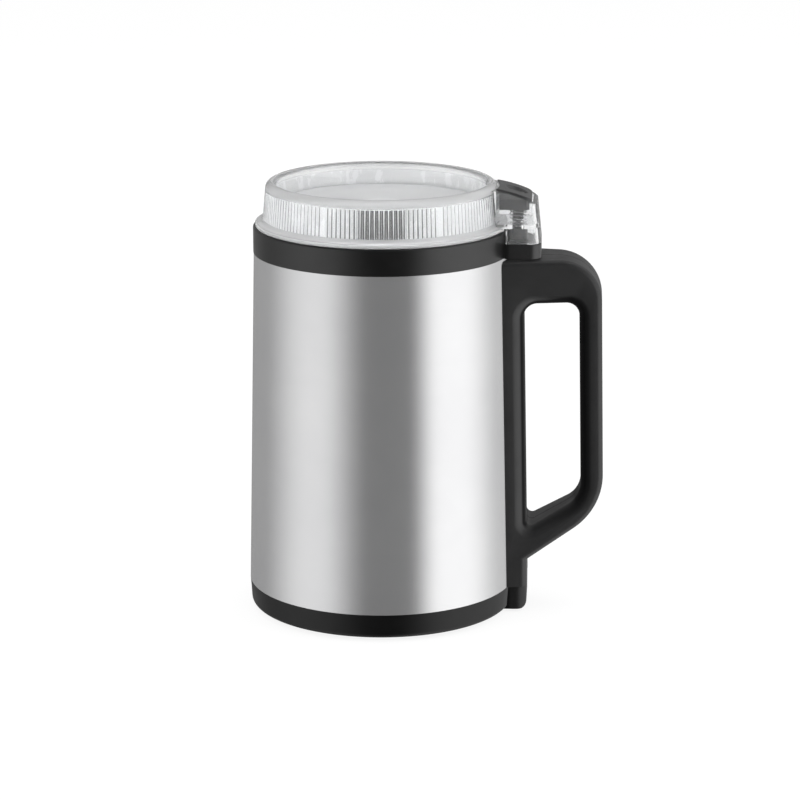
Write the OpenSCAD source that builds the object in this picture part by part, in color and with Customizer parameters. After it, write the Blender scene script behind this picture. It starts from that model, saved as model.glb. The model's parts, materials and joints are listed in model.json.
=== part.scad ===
// Electric coffee grinder with a steel body, a side handle and a push switch in its clear lid.
// Millimetres, +Z up, +X towards the handle. The origin is the centre of the foot ring, on the table.

/* [Body] */
// Outer diameter of the steel sleeve at its lower edge
body_base_d = 100; // [98:0.2:106]
// Outer diameter of the steel sleeve at its upper edge
body_top_d = 94.6; // [92:0.2:97]
// Height of the steel sleeve
sleeve_h = 125.8; // [120:0.2:140]
// Thickness of the steel sleeve
sleeve_t = 0.8; // [0.5:0.1:1.2]
// Height of the base band below the sleeve
base_h = 9.2; // [8.8:0.1:13]
// Wall and floor thickness of the base
base_wall = 2.2; // [1.8:0.1:3]
// Rounding of the lower edge of the base
base_edge_r = 2; // [1:0.1:3]
// How far the foot ring stands out below the base
foot_h = 1.2; // [0.8:0.1:2.5]
// Outer diameter of the foot ring
foot_d = 70; // [66:0.5:71]
// Radial width of the foot ring
foot_w = 5; // [3:0.2:7]

/* [Top ring] */
// Height of the top ring above the sleeve
ring_h = 9.75; // [9:0.05:14]
// How far the top ring stands out past the sleeve
ring_step = 0.15; // [0:0.05:0.6]
// Height of the boss that carries the guide post
boss_h = 5.3; // [4:0.1:6]
// Half width of the boss
boss_half_w = 12; // [11.8:0.1:14]
// Corner radius of the boss, the lid lug and the base lug
boss_corner_r = 4.5; // [2:0.1:6]
// Height of the guide post above the boss
post_h = 4.3; // [3:0.1:4.6]
// Outer diameter of the guide post
post_d = 6.9; // [6:0.1:8]

/* [Lid] */
// Height of the lid above the top ring
lid_h = 16.45; // [15:0.05:24]
// Wall thickness of the clear mouldings
lid_wall = 1.6; // [1.2:0.1:2]
// How far the lid flange stays inside the ring's edge
lid_flange_step = 0.8; // [0.3:0.1:1.5]
// Radial width of the lid flange
lid_flange_w = 2.95; // [2:0.05:4]
// Inward draft of the outer wall of the lid
lid_draft = 0.9; // [0.2:0.1:1.2]
// Radius of the shoulder round the lid's rim
lid_shoulder_r = 2.6; // [1:0.1:3]
// Depth of the dish in the lid's top
lid_dish_h = 8.2; // [5:0.1:9]
// How far the spigot of the lid goes into the bowl
lid_spigot_h = 4.2; // [2:0.1:8]
// How far the lug of the lid reaches past the sleeve
lug_reach = 11.9; // [11:0.1:16]

/* [Switch] */
// Distance from the sleeve's upper edge to the switch axis
switch_offset = 3.3; // [3.2:0.1:5]
// Travel of the push button
button_travel = 2; // [1.5:0.1:2.2]
// Diameter of the button's stem
stem_d = 4.2; // [3.4:0.1:4.6]
// Diameter of the switch rod
rod_d = 3.6; // [3:0.1:4]
// Wire diameter of the return spring
spring_wire = 0.7; // [0.5:0.05:0.8]
// Mean radius of the return spring
spring_r = 3.15; // [3:0.05:3.3]
// Turns of the return spring
spring_turns = 5; // [3:1:5]

/* [Handle] */
// Half width of the handle at the sleeve
handle_half_w = 12.6; // [11:0.1:14]
// How much each side of the handle leans in towards the grip in degrees
side_lean = 6; // [0:0.5:7]
// Thickness of the strip along the sleeve
strip_t = 5.3; // [5:0.1:7]
// Clear width of the finger gap
finger_gap = 20.5; // [18:0.5:30]
// Thickness of the grip
grip_t = 8.4; // [7:0.1:12]
// Height of the upper arm
arm_h = 16.6; // [15:0.1:20]
// Outer radius of the upper corner
upper_corner_r = 16; // [8:0.5:20]
// Outer radius of the lower corner
lower_corner_r = 24; // [12:1:30]
// Slope of the underside of the lower arm in degrees
arm_slope = 33.5; // [28:0.5:42]
// Slope of the upper side of the lower arm in degrees
arm_inner_slope = 30.6; // [24:0.2:38]
// Height at which the underside of the lower arm leaves the strip
arm_foot_z = 20.8; // [18:0.2:30]
// Vertical thickness of the lower arm at the strip
arm_foot_h = 11.2; // [11:0.2:20]
// Rounding of the edges round the finger gap
gap_edge_r = 5; // [1:0.2:5.4]
// Rounding of the outer edges
outer_edge_r = 2; // [0.6:0.1:3]
// Wall thickness of the handle shells
handle_wall = 2; // [1.6:0.1:2.2]

/* [Bowl and blade] */
// Depth of the grinding bowl
bowl_depth = 40; // [36:0.5:44]
// Sheet thickness of the bowl
bowl_t = 0.8; // [0.5:0.1:1]
// Radius between the bowl's wall and floor
bowl_fillet_r = 9; // [4:0.5:12]
// Tip to tip length of the blade
blade_l = 62; // [50:1:66]
// Width of the blade
blade_w = 11; // [8:0.5:14]
// Thickness of the blade
blade_t = 1.5; // [1:0.1:2.5]
// Upward bend of the blade's tips in degrees
blade_bend = 20; // [0:1:30]

/* [Motor] */
// Diameter of the motor shaft
shaft_d = 6; // [5:0.1:7]
// Outer diameter of the stator
stator_d = 68; // [62:1:69]
// Height of the stator stack
stator_h = 26; // [20:1:30]
// Diameter of the rotor as a share of the stator's
rotor_share = 0.47; // [0.43:0.01:0.49]
// Slots of the rotor
rotor_slots = 12; // [8:1:14]
// Diameter of the commutator
commutator_d = 18; // [16:0.5:20]
// Diameter of the cooling fan
fan_d = 50; // [40:1:58]
// Blades of the cooling fan
fan_blades = 9; // [5:1:13]

/* [Hidden] */
$fn = 96;

// Clearances
fit = 0.15;
running_fit = 0.05;
press_fit = 0.02;
seam = 0.2;
slide_gap = 0.4;
past = 1;

// Colours
black_plastic = "#1d1d1f";
dark_plastic = "#3a3a3c";
clear_plastic = [0.9, 0.93, 0.95, 0.45];
steel = "#c4c6c8";
dark_steel = "#77797c";
copper = "#b3683a";
brass = "#b99a4e";
rubber = "#2a2a2a";

// Levels of the body
sleeve_z0 = foot_h + base_h;
sleeve_z1 = sleeve_z0 + sleeve_h;
ring_z1 = sleeve_z1 + ring_h;
body_base_r = body_base_d / 2;
body_top_r = body_top_d / 2;
taper = atan((body_base_r - body_top_r) / sleeve_h);
function body_r(z) = body_base_r + (body_top_r - body_base_r) * (z - sleeve_z0) / sleeve_h;

// Top ring, nested wall by wall from the sleeve inwards
ring_r = body_top_r + ring_step;
ring_spigot_h = 7;
ring_spigot_t = 1.9;
spigot_out_r = body_top_r - sleeve_t - fit;
spigot_in_r = spigot_out_r - ring_spigot_t;
frame_out_r = spigot_in_r - fit;
frame_wall = 1.6;
frame_in_r = frame_out_r - frame_wall;
ring_bore_r = frame_in_r;
frame_top_z = sleeve_z1 + 1.5;

// Bowl, hung by its flange from a ledge in the ring
bowl_gap = 0.8;
bowl_out_r = frame_in_r - bowl_gap;
bowl_in_r = bowl_out_r - bowl_t;
bowl_flange_w = 2.4;
bowl_flange_r = bowl_out_r + bowl_flange_w;
bowl_drop = 0.75;
bowl_rim_z = ring_z1 - bowl_drop;
gasket_t = 1.2;
ledge_z = bowl_rim_z - bowl_t - gasket_t;
ledge_r = bowl_flange_r + 0.3;
bowl_floor_z = bowl_rim_z - bowl_depth;
bowl_hole_r = shaft_d / 2 + 4;
seal_flange_w = 2.6;
seal_flange_t = 1.8;

// Motor, hung from the deck of the motor frame and stacked downwards
deck_gap = 0.4;
deck_t = 3.4;
deck_z1 = bowl_floor_z - bowl_t - deck_gap;
deck_z0 = deck_z1 - deck_t;
deck_boss_h = 4;
deck_boss_r = 4;
deck_hole_r = bowl_hole_r + seal_flange_w + 2.4;
grommet_r = 4;
grommet_neck_r = 3;
grommet_top_t = 1.8;
grommet_low_t = 1.5;
bracket_t = 2.5;
bracket_z1 = deck_z0 - deck_boss_h - grommet_top_t;
bracket_z0 = bracket_z1 - bracket_t;
mount_r = stator_d / 2 - 5;
hub_r = shaft_d / 2 + 5;
bushing_r = shaft_d / 2 + 2;
bushing_h = 9;
hub_rise = 6;
upper_hub_z1 = bracket_z1 + hub_rise;
upper_hub_z0 = upper_hub_z1 - bushing_h - 1;
bracket_leg_h = 8;
stator_r = stator_d / 2;
stator_z1 = bracket_z0 - bracket_leg_h;
stator_z0 = stator_z1 - stator_h;
yoke_t = stator_r * 0.206;
yoke_in_r = stator_r - yoke_t;
bolt_pos_r = stator_r - yoke_t / 2;
bracket_leg_r = yoke_t / 2 - 0.3;
bolt_r = 2;
bolt_head_r = 1.7 * bolt_r;
bolt_head_t = 1.2 * bolt_r;
air_gap = 0.5;
rotor_r = stator_r * rotor_share;
pole_bore_r = rotor_r + air_gap;
pole_shoe_t = stator_r * 0.103;
pole_neck_half_w = stator_r * 0.235;
end_turn_h = 5;
lower_leg_h = 21;
lower_z1 = stator_z0 - lower_leg_h;
lower_t = 3;
lower_z0 = lower_z1 - lower_t;
commutator_r = commutator_d / 2;
commutator_h = 11;
commutator_z1 = stator_z0 - end_turn_h - 1;
commutator_z0 = commutator_z1 - commutator_h;
lower_hub_drop = 5;
lower_hub_z0 = lower_z0 - lower_hub_drop;
fan_r = fan_d / 2;
fan_plate_t = 1.6;
fan_blade_h = 7;
fan_z1 = lower_hub_z0 - 0.5;
fan_z0 = fan_z1 - fan_blade_h - fan_plate_t;
shaft_z0 = fan_z0 - 3;
shaft_r = shaft_d / 2;

// Blade on top of the shaft
blade_gap = 5.5;
blade_z0 = bowl_floor_z + blade_gap;
blade_hub_r = shaft_r + 3;
blade_flat_r = 13;
nut_h = 4.5;
shaft_z1 = blade_z0 + blade_t + nut_h + 1;

// Brush gear along the X axis, one set on each side of the commutator
brush_z = (commutator_z0 + commutator_z1) / 2;
brush_h = 6;
brush_w = 4.4;
brush_l = 9;
brush_gap = 0.1;
holder_wall = 0.9;
holder_l = 17;
holder_start = commutator_r + 1.2;
holder_end = holder_start + holder_l;
brush_start = commutator_r + brush_gap;
brush_spring_r = 1.5;
brush_spring_wire = 0.5;
brush_spring_turns = 5;

// Screws
screw_r = 1.5;
screw_head_r = 2.7;
screw_head_t = 1.7;
frame_leg_pos_r = body_top_r - 7.3;
frame_leg_r = 4.2;
frame_leg_angles = [45, 165, 285];
base_boss_z = sleeve_z0 + 6;
base_screw_recess = 3;
base_screw_bite = 8;
ring_screw_angles = [60, 180, 300];
ring_screw_z = sleeve_z1 - ring_spigot_h / 2;
ring_screw_r = 1.2;
ring_sink_r = 2.2;
ring_sink_h = 1;

// Base
base_draft = 0.5;
base_spigot_h = 7;
base_spigot_r = body_base_r - sleeve_t - fit - 0.2;
base_floor_z = foot_h + base_wall;
foot_groove = 1;
foot_r = foot_d / 2;
foot_in_r = foot_r - foot_w;
vent_count = 36;
vent_w = 2;
vent_r0 = foot_r + 3;
vent_r1 = body_base_r - 5;
gland_r = 3;
gland_bore_r = 2.4;
gland_flange_r = gland_r + 0.8;
gland_flange_t = 1.6;
gland_z = base_floor_z + gland_r + fit;

// Switch axis, lid lug and guide post
switch_x = body_top_r + switch_offset;
lug_x = body_top_r + lug_reach;
boss_z0 = sleeve_z1 - 0.4;
boss_z1 = boss_z0 + boss_h;
post_z1 = boss_z1 + post_h;
post_mouth_h = 1.6;
post_rib_t = 2.4;
post_rib_h = 1.7;
post_rib_drop = 0.9;
rod_r = rod_d / 2;
rod_bore_r = rod_r + running_fit;
stem_r = stem_d / 2;
lug_half_w = boss_half_w - 0.3;
lug_z0 = boss_z1 + seam;
lug_lean = 6;

// Lid
lid_z0 = ring_z1 + 0.05;
lid_z1 = ring_z1 + lid_h;
lid_flange_r = ring_r - lid_flange_step;
lid_flange_t = 1.3;
lid_foot_r = lid_flange_r - lid_flange_w;
lid_foot_fillet = 2.3;
lid_top_r = lid_foot_r - lid_draft;
lid_spigot_r = bowl_in_r - 0.6;
lid_cup_r = lid_spigot_r - lid_wall - 0.2;
lid_rim_in_r = lid_cup_r + 0.9;
lid_floor_z = lid_z1 - lid_dish_h;
lid_floor_t = 1.8;
lid_cup_fillet = 1.5;
lid_centre_r = 8.5;
lid_centre_h = 0.8;
lid_spigot_z0 = ring_z1 - lid_spigot_h;
lid_groove_z = lid_z1 - 5;

// Button, its crown struck round an axis along Y
crown_r = 50;
crown_offset = 15.8;
crown_drop = 0.35;
crown_x = switch_x - crown_offset;
crown_z = lid_z1 - crown_drop - crown_r;
lug_crown_drop = 0.8;
dimple_r = 16;
dimple_h = 0.8;
web_z0 = ring_z1 + 0.8;
web_t = 1.6;
web_z1 = web_z0 + web_t;
button_half_w = lug_half_w - lid_wall - slide_gap;
button_x0 = lid_foot_r + slide_gap;
button_x1 = lug_x - lid_wall - slide_gap - 1.6;
button_corner_r = 2.5;
button_plate_t = 1.6;
skirt_half_w = 6;
skirt_x0 = lid_foot_r + slide_gap;
skirt_x1 = switch_x + 4.4;
skirt_wall = 0.8;
skirt_z0 = web_z1 + button_travel + 1.2;
stem_z0 = web_z1 - 1.4;
pin_r = 0.95;
pin_z0 = post_z1 - 1;
function crown_top(x) = crown_z + sqrt(crown_r * crown_r - (x - crown_x) * (x - crown_x));
spring_z0 = web_z1 + 0.1;
spring_z1 = crown_top(switch_x + spring_r + spring_wire) - button_plate_t - 0.9;

// Handle outline, worked out from lines given by a normal and an offset
handle_z1 = boss_z0 - 0.6;
handle_z0 = sleeve_z0 + seam;
gap_top_z = handle_z1 - arm_h;
gap_upper_r = 5;
gap_lower_r = 10;
gap_foot_r = 2;
gap_over = 0.1;
gap_foot_z = arm_foot_z + arm_foot_h;
handle_in_x = body_top_r - 8;
corner_steps = 10;
edge_steps = 5;
up_n = [0, 1];
side_n = [cos(taper), sin(taper)];
under_n = [sin(arm_slope), -cos(arm_slope)];
over_n = [sin(arm_inner_slope), -cos(arm_inner_slope)];
strip_k = side_n * [body_r(0) + strip_t, 0];
gap_k = strip_k + finger_gap;
grip_k = gap_k + grip_t;
under_k = under_n * meet(side_n, strip_k, up_n, arm_foot_z);
over_k = over_n * meet(side_n, strip_k, up_n, gap_foot_z);
function side_shift(x) = (x - body_top_r) * tan(side_lean);
function side_y(x) = handle_half_w - side_shift(x);
function meet(n1, k1, n2, k2) =
    [k1 * n2[1] - n1[1] * k2, n1[0] * k2 - k1 * n2[0]] / (n1[0] * n2[1] - n1[1] * n2[0]);
function arc(c, r, a0, a1, n) =
    [for (i = [0:n]) let (a = a0 + (a1 - a0) * i / n) [c[0] + r * cos(a), c[1] + r * sin(a)]];

// Handle outline drawn in by d, and the finger gap let out by e
function handle_outline(d) = concat(
    [[handle_in_x, handle_z0], meet(side_n, strip_k - d, up_n, handle_z0)],
    [meet(side_n, strip_k - d, under_n, under_k - d)],
    arc(meet(side_n, grip_k - lower_corner_r, under_n, under_k - lower_corner_r),
        lower_corner_r - d, arm_slope - 90, taper, corner_steps),
    arc(meet(side_n, grip_k - upper_corner_r, up_n, handle_z1 - upper_corner_r),
        upper_corner_r - d, taper, 90, corner_steps),
    [[handle_in_x, handle_z1 - d]]);
function gap_outline(e) = concat(
    arc(meet(side_n, gap_k - gap_lower_r, over_n, over_k - gap_lower_r),
        gap_lower_r + e, arm_inner_slope - 90, taper, corner_steps),
    arc(meet(side_n, gap_k - gap_upper_r, up_n, gap_top_z - gap_upper_r),
        gap_upper_r + e, taper, 90, corner_steps),
    arc(meet(side_n, strip_k + gap_upper_r, up_n, gap_top_z - gap_upper_r),
        gap_upper_r + e, 90, 180 + taper, corner_steps),
    arc(meet(side_n, strip_k + gap_foot_r, over_n, over_k - gap_foot_r),
        gap_foot_r + e, 180 + taper, 270 + arm_inner_slope, corner_steps));
handle_sections = concat([[0, handle_outline(0)]],
    [for (i = [0:edge_steps]) let (a = 90 * i / edge_steps)
        [handle_half_w - outer_edge_r * (1 - sin(a)), handle_outline(outer_edge_r * (1 - cos(a)))]]);
gap_sections = concat([[-past, gap_outline(0)]],
    [for (i = [0:edge_steps]) let (a = 90 * i / edge_steps)
        [handle_half_w + gap_over - gap_edge_r * (1 - sin(a)), gap_outline(gap_edge_r * (1 - cos(a)))]],
    [[handle_half_w + past, gap_outline(gap_edge_r)]]);

// Screws that join the handle halves, and screws that hold the handle to the sleeve
joint_boss_r = 3.4;
joint_screws = [
    meet(side_n, grip_k - upper_corner_r * 0.55, up_n, handle_z1 - upper_corner_r * 0.55),
    meet(side_n, grip_k - 6.6, under_n, under_k - 6.6),
    meet(side_n, strip_k + 6, under_n, under_k - 4.8)];
joint_recess = 4;
function joint_seat_y(p) = side_y(p[0]) - joint_recess;
joint_reach = 6;
joint_screw_r = 1.3;
handle_screw_y = handle_half_w - 3.2;
handle_screw_zs = [arm_foot_z + 4, gap_top_z - 8];
handle_screw_depth = 3.6;

// Microswitch in the upper arm, its lever under the switch rod
arm_floor_z = gap_top_z + handle_wall;
arm_roof_z = handle_z1 - handle_wall;
switch_l = 12.8;
switch_half_w = 2.9;
switch_h = 5.8;
switch_z0 = arm_floor_z + 0.1;
switch_z1 = switch_z0 + switch_h;
switch_x0 = switch_x - 1.6;
pivot_x = switch_x + 10.2;
pivot_z = switch_z1 + 0.9;
pivot_r = 0.5;
barrel_r = 0.85;
lever_angle = 12;
lever_t = 0.4;
lever_half_w = 1.8;
lever_l = pivot_x - switch_x + 2.2;
lever_rise = (pivot_x - switch_x) * tan(lever_angle);
rod_tip_r = 0.7;
rod_z0 = pivot_z + lever_rise + lever_t / 2 + 0.3;
rod_z1 = pin_z0 - 0.15;
collar_r = rod_r + 0.7;
collar_z1 = arm_roof_z - fit;
collar_t = 1;
plunger_r = 0.8;
plunger_arm = 3.6;
plunger_x = pivot_x - plunger_arm;
plunger_z1 = pivot_z + (plunger_arm - plunger_r) * tan(lever_angle) - lever_t / 2 - 0.1;
plunger_depth = 2.5;

// Solid between stacked outlines, each given as [y, outline in X and Z]; those above y = 0 lean in with
// the handle's side; inward is the number of the outline point at which the ends are split, where an
// outline has an inward corner
module loft(sections, inward = 0) {
    n = len(sections[0][1]);
    top = len(sections) - 1;
    rings = inward == 0 ? [[for (i = [0:n - 1]) i]]
        : [concat([for (i = [0:inward]) i], [n - 1]), [for (i = [inward:n - 1]) i]];
    points = [for (s = sections) for (p = s[1]) [p[0], s[0] > 0 ? s[0] - side_shift(p[0]) : s[0], p[1]]];
    near_cap = [for (ring = rings) [for (i = [len(ring) - 1:-1:0]) ring[i]]];
    far_cap = [for (ring = rings) [for (i = ring) top * n + i]];
    sides = [for (k = [0:top - 1]) for (i = [0:n - 1]) let (j = (i + 1) % n)
        for (f = [[k * n + i, k * n + j, (k + 1) * n + j],
                  [k * n + i, (k + 1) * n + j, (k + 1) * n + i]]) f];
    polyhedron(points, concat(near_cap, far_cap, sides), convexity = 6);
}

// Ring points of a helix with one wire diameter of straight run at each end
function coil_path(r, wire, turns, h) =
    let (steps = turns * 8, rise = h / steps)
    concat(
        [[r, -wire, 0, 0]],
        [for (i = [0:steps]) [r * cos(45 * i), r * sin(45 * i), rise * i, 45 * i]],
        [[r * cos(45 * steps) - wire * sin(45 * steps),
          r * sin(45 * steps) + wire * cos(45 * steps), h, 45 * steps]]);
function coil_gap(path, wire) =
    min([for (i = [0:len(path) - 1]) for (j = [i + 5:1:len(path) - 1])
        norm([for (k = [0:2]) path[i][k] - path[j][k]]) - wire]);

// Wire of six sides along a helix round Z, from z = 0 to h at its centre line
module coil_wire(r, wire, turns, h) {
    path = coil_path(r, wire, turns, h);
    n = 6;
    top = len(path) - 1;
    points = [for (p = path) for (s = [0:n - 1]) let (b = 360 * s / n)
        [p[0] + wire / 2 * cos(b) * cos(p[3]), p[1] + wire / 2 * cos(b) * sin(p[3]),
         p[2] + wire / 2 * sin(b)]];
    near_cap = [for (i = [1:n - 2]) [0, i, i + 1]];
    far_cap = [for (i = [1:n - 2]) [top * n, top * n + i + 1, top * n + i]];
    sides = [for (k = [0:top - 1]) for (i = [0:n - 1]) let (j = (i + 1) % n)
        for (f = [[k * n + i, (k + 1) * n + j, k * n + j],
                  [k * n + i, (k + 1) * n + i, (k + 1) * n + j]]) f];
    polyhedron(points, concat(near_cap, far_cap, sides), convexity = 10);
}

// Plan outline of a tab along X with its two outer corners rounded
module tab_outline(x0, x1, half_w, r) {
    translate([x0, -half_w]) square([x1 - x0 - r, 2 * half_w]);
    translate([x0, r - half_w]) square([x1 - x0, 2 * (half_w - r)]);
    for (side = [-1, 1]) translate([x1 - r, side * (half_w - r)]) circle(r);
}

// Hollow ring between two radii
module tube(r_out, r_in, h) {
    difference() {
        cylinder(r = r_out, h = h);
        translate([0, 0, -past]) cylinder(r = r_in, h = h + 2 * past);
    }
}

// Screw with its head below z = 0 and its shank above
module screw(r, head_r, head_t, l) {
    translate([0, 0, -head_t]) cylinder(r = head_r, h = head_t);
    cylinder(r = r, h = l);
}

// Children copied to each angle round Z at a radius
module around(angles, r) {
    for (a = angles) rotate([0, 0, a]) translate([r, 0, 0]) children();
}

// Space taken up by the sleeve and all inside it
module body_space(gap) {
    translate([0, 0, sleeve_z0 - base_h])
        cylinder(r1 = body_r(sleeve_z0 - base_h) + gap, r2 = body_r(ring_z1) + gap,
            h = ring_z1 - sleeve_z0 + base_h);
}

module foot_ring() {
    color(rubber) tube(foot_r, foot_in_r, foot_h + foot_groove);
}

// Lug under the handle's strip, as wide as the handle, with a rounded lower edge
module base_lug() {
    lug_r = 2.5;
    x1 = body_r(sleeve_z0) + strip_t;
    side = concat([[0, sleeve_z0], [0, foot_h]],
        arc([x1 - lug_r, foot_h + lug_r], lug_r, -90, 0, corner_steps), [[x1, sleeve_z0]]);
    difference() {
        intersection() {
            translate([0, 0, foot_h]) linear_extrude(base_h)
                tab_outline(0, x1, side_y(body_base_r), boss_corner_r);
            rotate([90, 0, 0]) translate([0, 0, -2 * handle_half_w])
                linear_extrude(4 * handle_half_w) polygon(side);
        }
        translate([0, 0, -past]) cylinder(r = base_spigot_r - base_wall / 2, h = sleeve_z0 + 2 * past);
    }
}

module base() {
    r1 = body_base_r;
    r0 = body_base_r - base_draft;
    shell = concat(
        [[0, foot_h]],
        arc([r0 - base_edge_r, foot_h + base_edge_r], base_edge_r, -90, 0, corner_steps),
        [[r1, sleeve_z0], [base_spigot_r, sleeve_z0], [base_spigot_r, sleeve_z0 + base_spigot_h],
         [base_spigot_r - base_wall, sleeve_z0 + base_spigot_h],
         [base_spigot_r - base_wall, base_floor_z], [0, base_floor_z]]);
    color(black_plastic) difference() {
        union() {
            rotate_extrude() polygon(shell);
            base_lug();
            translate([0, 0, base_floor_z - 0.5]) around(frame_leg_angles, frame_leg_pos_r)
                cylinder(r = frame_leg_r, h = base_boss_z - base_floor_z + 0.5);
        }
        translate([0, 0, foot_h - past]) tube(foot_r + press_fit, foot_in_r - press_fit, foot_groove + past);
        around(frame_leg_angles, frame_leg_pos_r) {
            cylinder(r = screw_r + fit, h = base_boss_z + past);
            cylinder(r = screw_head_r + 0.4, h = foot_h + base_screw_recess);
        }
        for (i = [0:vent_count - 1]) let (a = i * 360 / vent_count)
            if (min([for (b = frame_leg_angles) abs(a - b)]) > 9)
                rotate([0, 0, a]) translate([vent_r0, -vent_w / 2, foot_h - past])
                    cube([vent_r1 - vent_r0, vent_w, base_wall + 2 * past]);
        translate([0, base_spigot_r - base_wall - past, gland_z]) rotate([-90, 0, 0])
            cylinder(r = gland_r, h = body_base_r - base_spigot_r + base_wall + 2 * past);
    }
}

module base_screws() {
    color(dark_steel) around(frame_leg_angles, frame_leg_pos_r)
        translate([0, 0, foot_h + base_screw_recess])
            screw(screw_r, screw_head_r, screw_head_t, base_boss_z - foot_h - base_screw_recess + base_screw_bite);
}

// Rubber bush in the rear wall of the base, where the supply lead goes in
module cord_gland() {
    inner_y = base_spigot_r - base_wall - fit;
    outer_y = body_base_r + 0.1;
    color(rubber) translate([0, 0, gland_z]) rotate([-90, 0, 0]) difference() {
        union() {
            translate([0, 0, inner_y - gland_flange_t]) cylinder(r = gland_flange_r, h = gland_flange_t);
            translate([0, 0, inner_y - past / 2])
                cylinder(r = gland_r - press_fit, h = outer_y - inner_y + past);
            translate([0, 0, outer_y]) cylinder(r1 = gland_flange_r, r2 = gland_r, h = gland_flange_t);
        }
        translate([0, 0, inner_y - 5]) cylinder(r = gland_bore_r, h = 20);
        translate([-gland_flange_r, gland_r, inner_y - 2 * gland_flange_t])
            cube([2 * gland_flange_r, gland_flange_r, 2 * gland_flange_t]);
    }
}

module steel_sleeve() {
    color(steel) difference() {
        rotate_extrude() polygon([
            [body_base_r - sleeve_t, sleeve_z0], [body_base_r, sleeve_z0],
            [body_top_r, sleeve_z1], [body_top_r - sleeve_t, sleeve_z1]]);
        for (z = handle_screw_zs) for (side = [-1, 1])
            translate([body_top_r / 2, side * handle_screw_y, z]) rotate([0, 90, 0])
                cylinder(r = screw_r + fit, h = body_top_r);
    }
}

module top_ring() {
    chamfer = 0.5;
    color(black_plastic) difference() {
        union() {
            rotate_extrude() polygon([
                [spigot_in_r, sleeve_z1 - ring_spigot_h], [spigot_out_r, sleeve_z1 - ring_spigot_h],
                [spigot_out_r, sleeve_z1], [ring_r, sleeve_z1], [ring_r, ring_z1 - chamfer],
                [ring_r - chamfer, ring_z1], [ledge_r, ring_z1], [ledge_r, ledge_z],
                [ring_bore_r, ledge_z], [ring_bore_r, frame_top_z + fit], [spigot_in_r, frame_top_z + fit]]);
            difference() {
                union() {
                    translate([0, 0, boss_z0]) linear_extrude(boss_h)
                        tab_outline(body_top_r / 2, lug_x, boss_half_w, boss_corner_r);
                    translate([switch_x, 0, boss_z1 - past]) cylinder(d = post_d, h = post_h + past);
                    translate([body_top_r / 2, -post_rib_t / 2, post_z1 - post_rib_drop - post_rib_h])
                        cube([switch_x - body_top_r / 2, post_rib_t, post_rib_h]);
                }
                translate([0, 0, sleeve_z1]) cylinder(r = spigot_in_r + 1, h = 2 * ring_h);
                translate([0, 0, boss_z0 - past])
                    cylinder(r = body_top_r + fit, h = sleeve_z1 - boss_z0 + past);
            }
        }
        translate([switch_x, 0, boss_z0 - past]) cylinder(r = rod_bore_r, h = boss_h + post_h + 2 * past);
        translate([switch_x, 0, post_z1 - post_mouth_h])
            cylinder(r = stem_r + slide_gap, h = post_mouth_h + past);
        around(ring_screw_angles, 0) translate([spigot_in_r - past, 0, ring_screw_z]) rotate([0, 90, 0]) {
            cylinder(r = ring_screw_r + fit, h = 2 * ring_spigot_t + past);
            translate([0, 0, past + ring_spigot_t - ring_sink_h])
                cylinder(r1 = ring_screw_r + fit, r2 = ring_sink_r + fit, h = ring_sink_h);
        }
    }
}

// Countersunk screws through the ring's spigot into the frame, hidden by the sleeve
module ring_screws() {
    color(dark_steel) around(ring_screw_angles, 0)
        translate([frame_in_r, 0, ring_screw_z]) rotate([0, 90, 0]) {
            reach = spigot_out_r - frame_in_r - 0.1;
            cylinder(r = ring_screw_r, h = reach);
            translate([0, 0, reach - ring_sink_h])
                cylinder(r1 = ring_screw_r, r2 = ring_sink_r, h = ring_sink_h);
        }
}

// Moulded frame: collar inside the ring, deck over the motor, three legs down to the base
module motor_frame() {
    collar_gap_half_w = handle_screw_y + screw_head_r + 1;
    color(dark_plastic) difference() {
        union() {
            translate([0, 0, deck_z0]) tube(frame_out_r, frame_in_r, frame_top_z - deck_z0);
            translate([0, 0, deck_z0]) cylinder(r = frame_out_r - 0.5, h = deck_t);
            translate([0, 0, base_boss_z]) around(frame_leg_angles, frame_leg_pos_r)
                cylinder(r = frame_leg_r, h = deck_z0 - base_boss_z + past);
            translate([0, 0, deck_z0 - deck_boss_h]) around([45, 135, 225, 315], mount_r)
                cylinder(r = deck_boss_r, h = deck_boss_h + past);
        }
        translate([0, 0, deck_z0 - past]) cylinder(r = deck_hole_r, h = deck_t + 2 * past);
        around([45, 135, 225, 315], mount_r) translate([0, 0, deck_z0 - deck_boss_h - past])
            cylinder(r = screw_r + press_fit, h = deck_boss_h + deck_t - 1 + past);
        around(frame_leg_angles, frame_leg_pos_r) translate([0, 0, base_boss_z - past])
            cylinder(r = screw_r + press_fit, h = base_screw_bite + 2 * past);
        around(ring_screw_angles, 0) translate([frame_in_r - past, 0, ring_screw_z]) rotate([0, 90, 0])
            cylinder(r = ring_screw_r + press_fit, h = frame_wall + 2 * past);
        translate([frame_in_r - 6, -collar_gap_half_w, deck_z1])
            cube([10, 2 * collar_gap_half_w, sleeve_z1 - ring_spigot_h - past - deck_z1]);
    }
}

module grinding_bowl() {
    fillet_c = [bowl_in_r - bowl_fillet_r, bowl_floor_z + bowl_fillet_r];
    inside = concat(
        [[bowl_hole_r, bowl_floor_z]],
        arc(fillet_c, bowl_fillet_r, -90, 0, corner_steps),
        [[bowl_in_r, bowl_rim_z]]);
    outside = concat(
        [[bowl_flange_r, bowl_rim_z], [bowl_flange_r, bowl_rim_z - bowl_t],
         [bowl_out_r, bowl_rim_z - bowl_t]],
        arc(fillet_c, bowl_fillet_r + bowl_t, 0, -90, corner_steps),
        [[bowl_hole_r, bowl_floor_z - bowl_t]]);
    color(steel) rotate_extrude() polygon(concat(inside, outside));
}

module bowl_gasket() {
    color(rubber) translate([0, 0, ledge_z]) tube(bowl_flange_r, bowl_out_r + fit, gasket_t);
}

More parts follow.
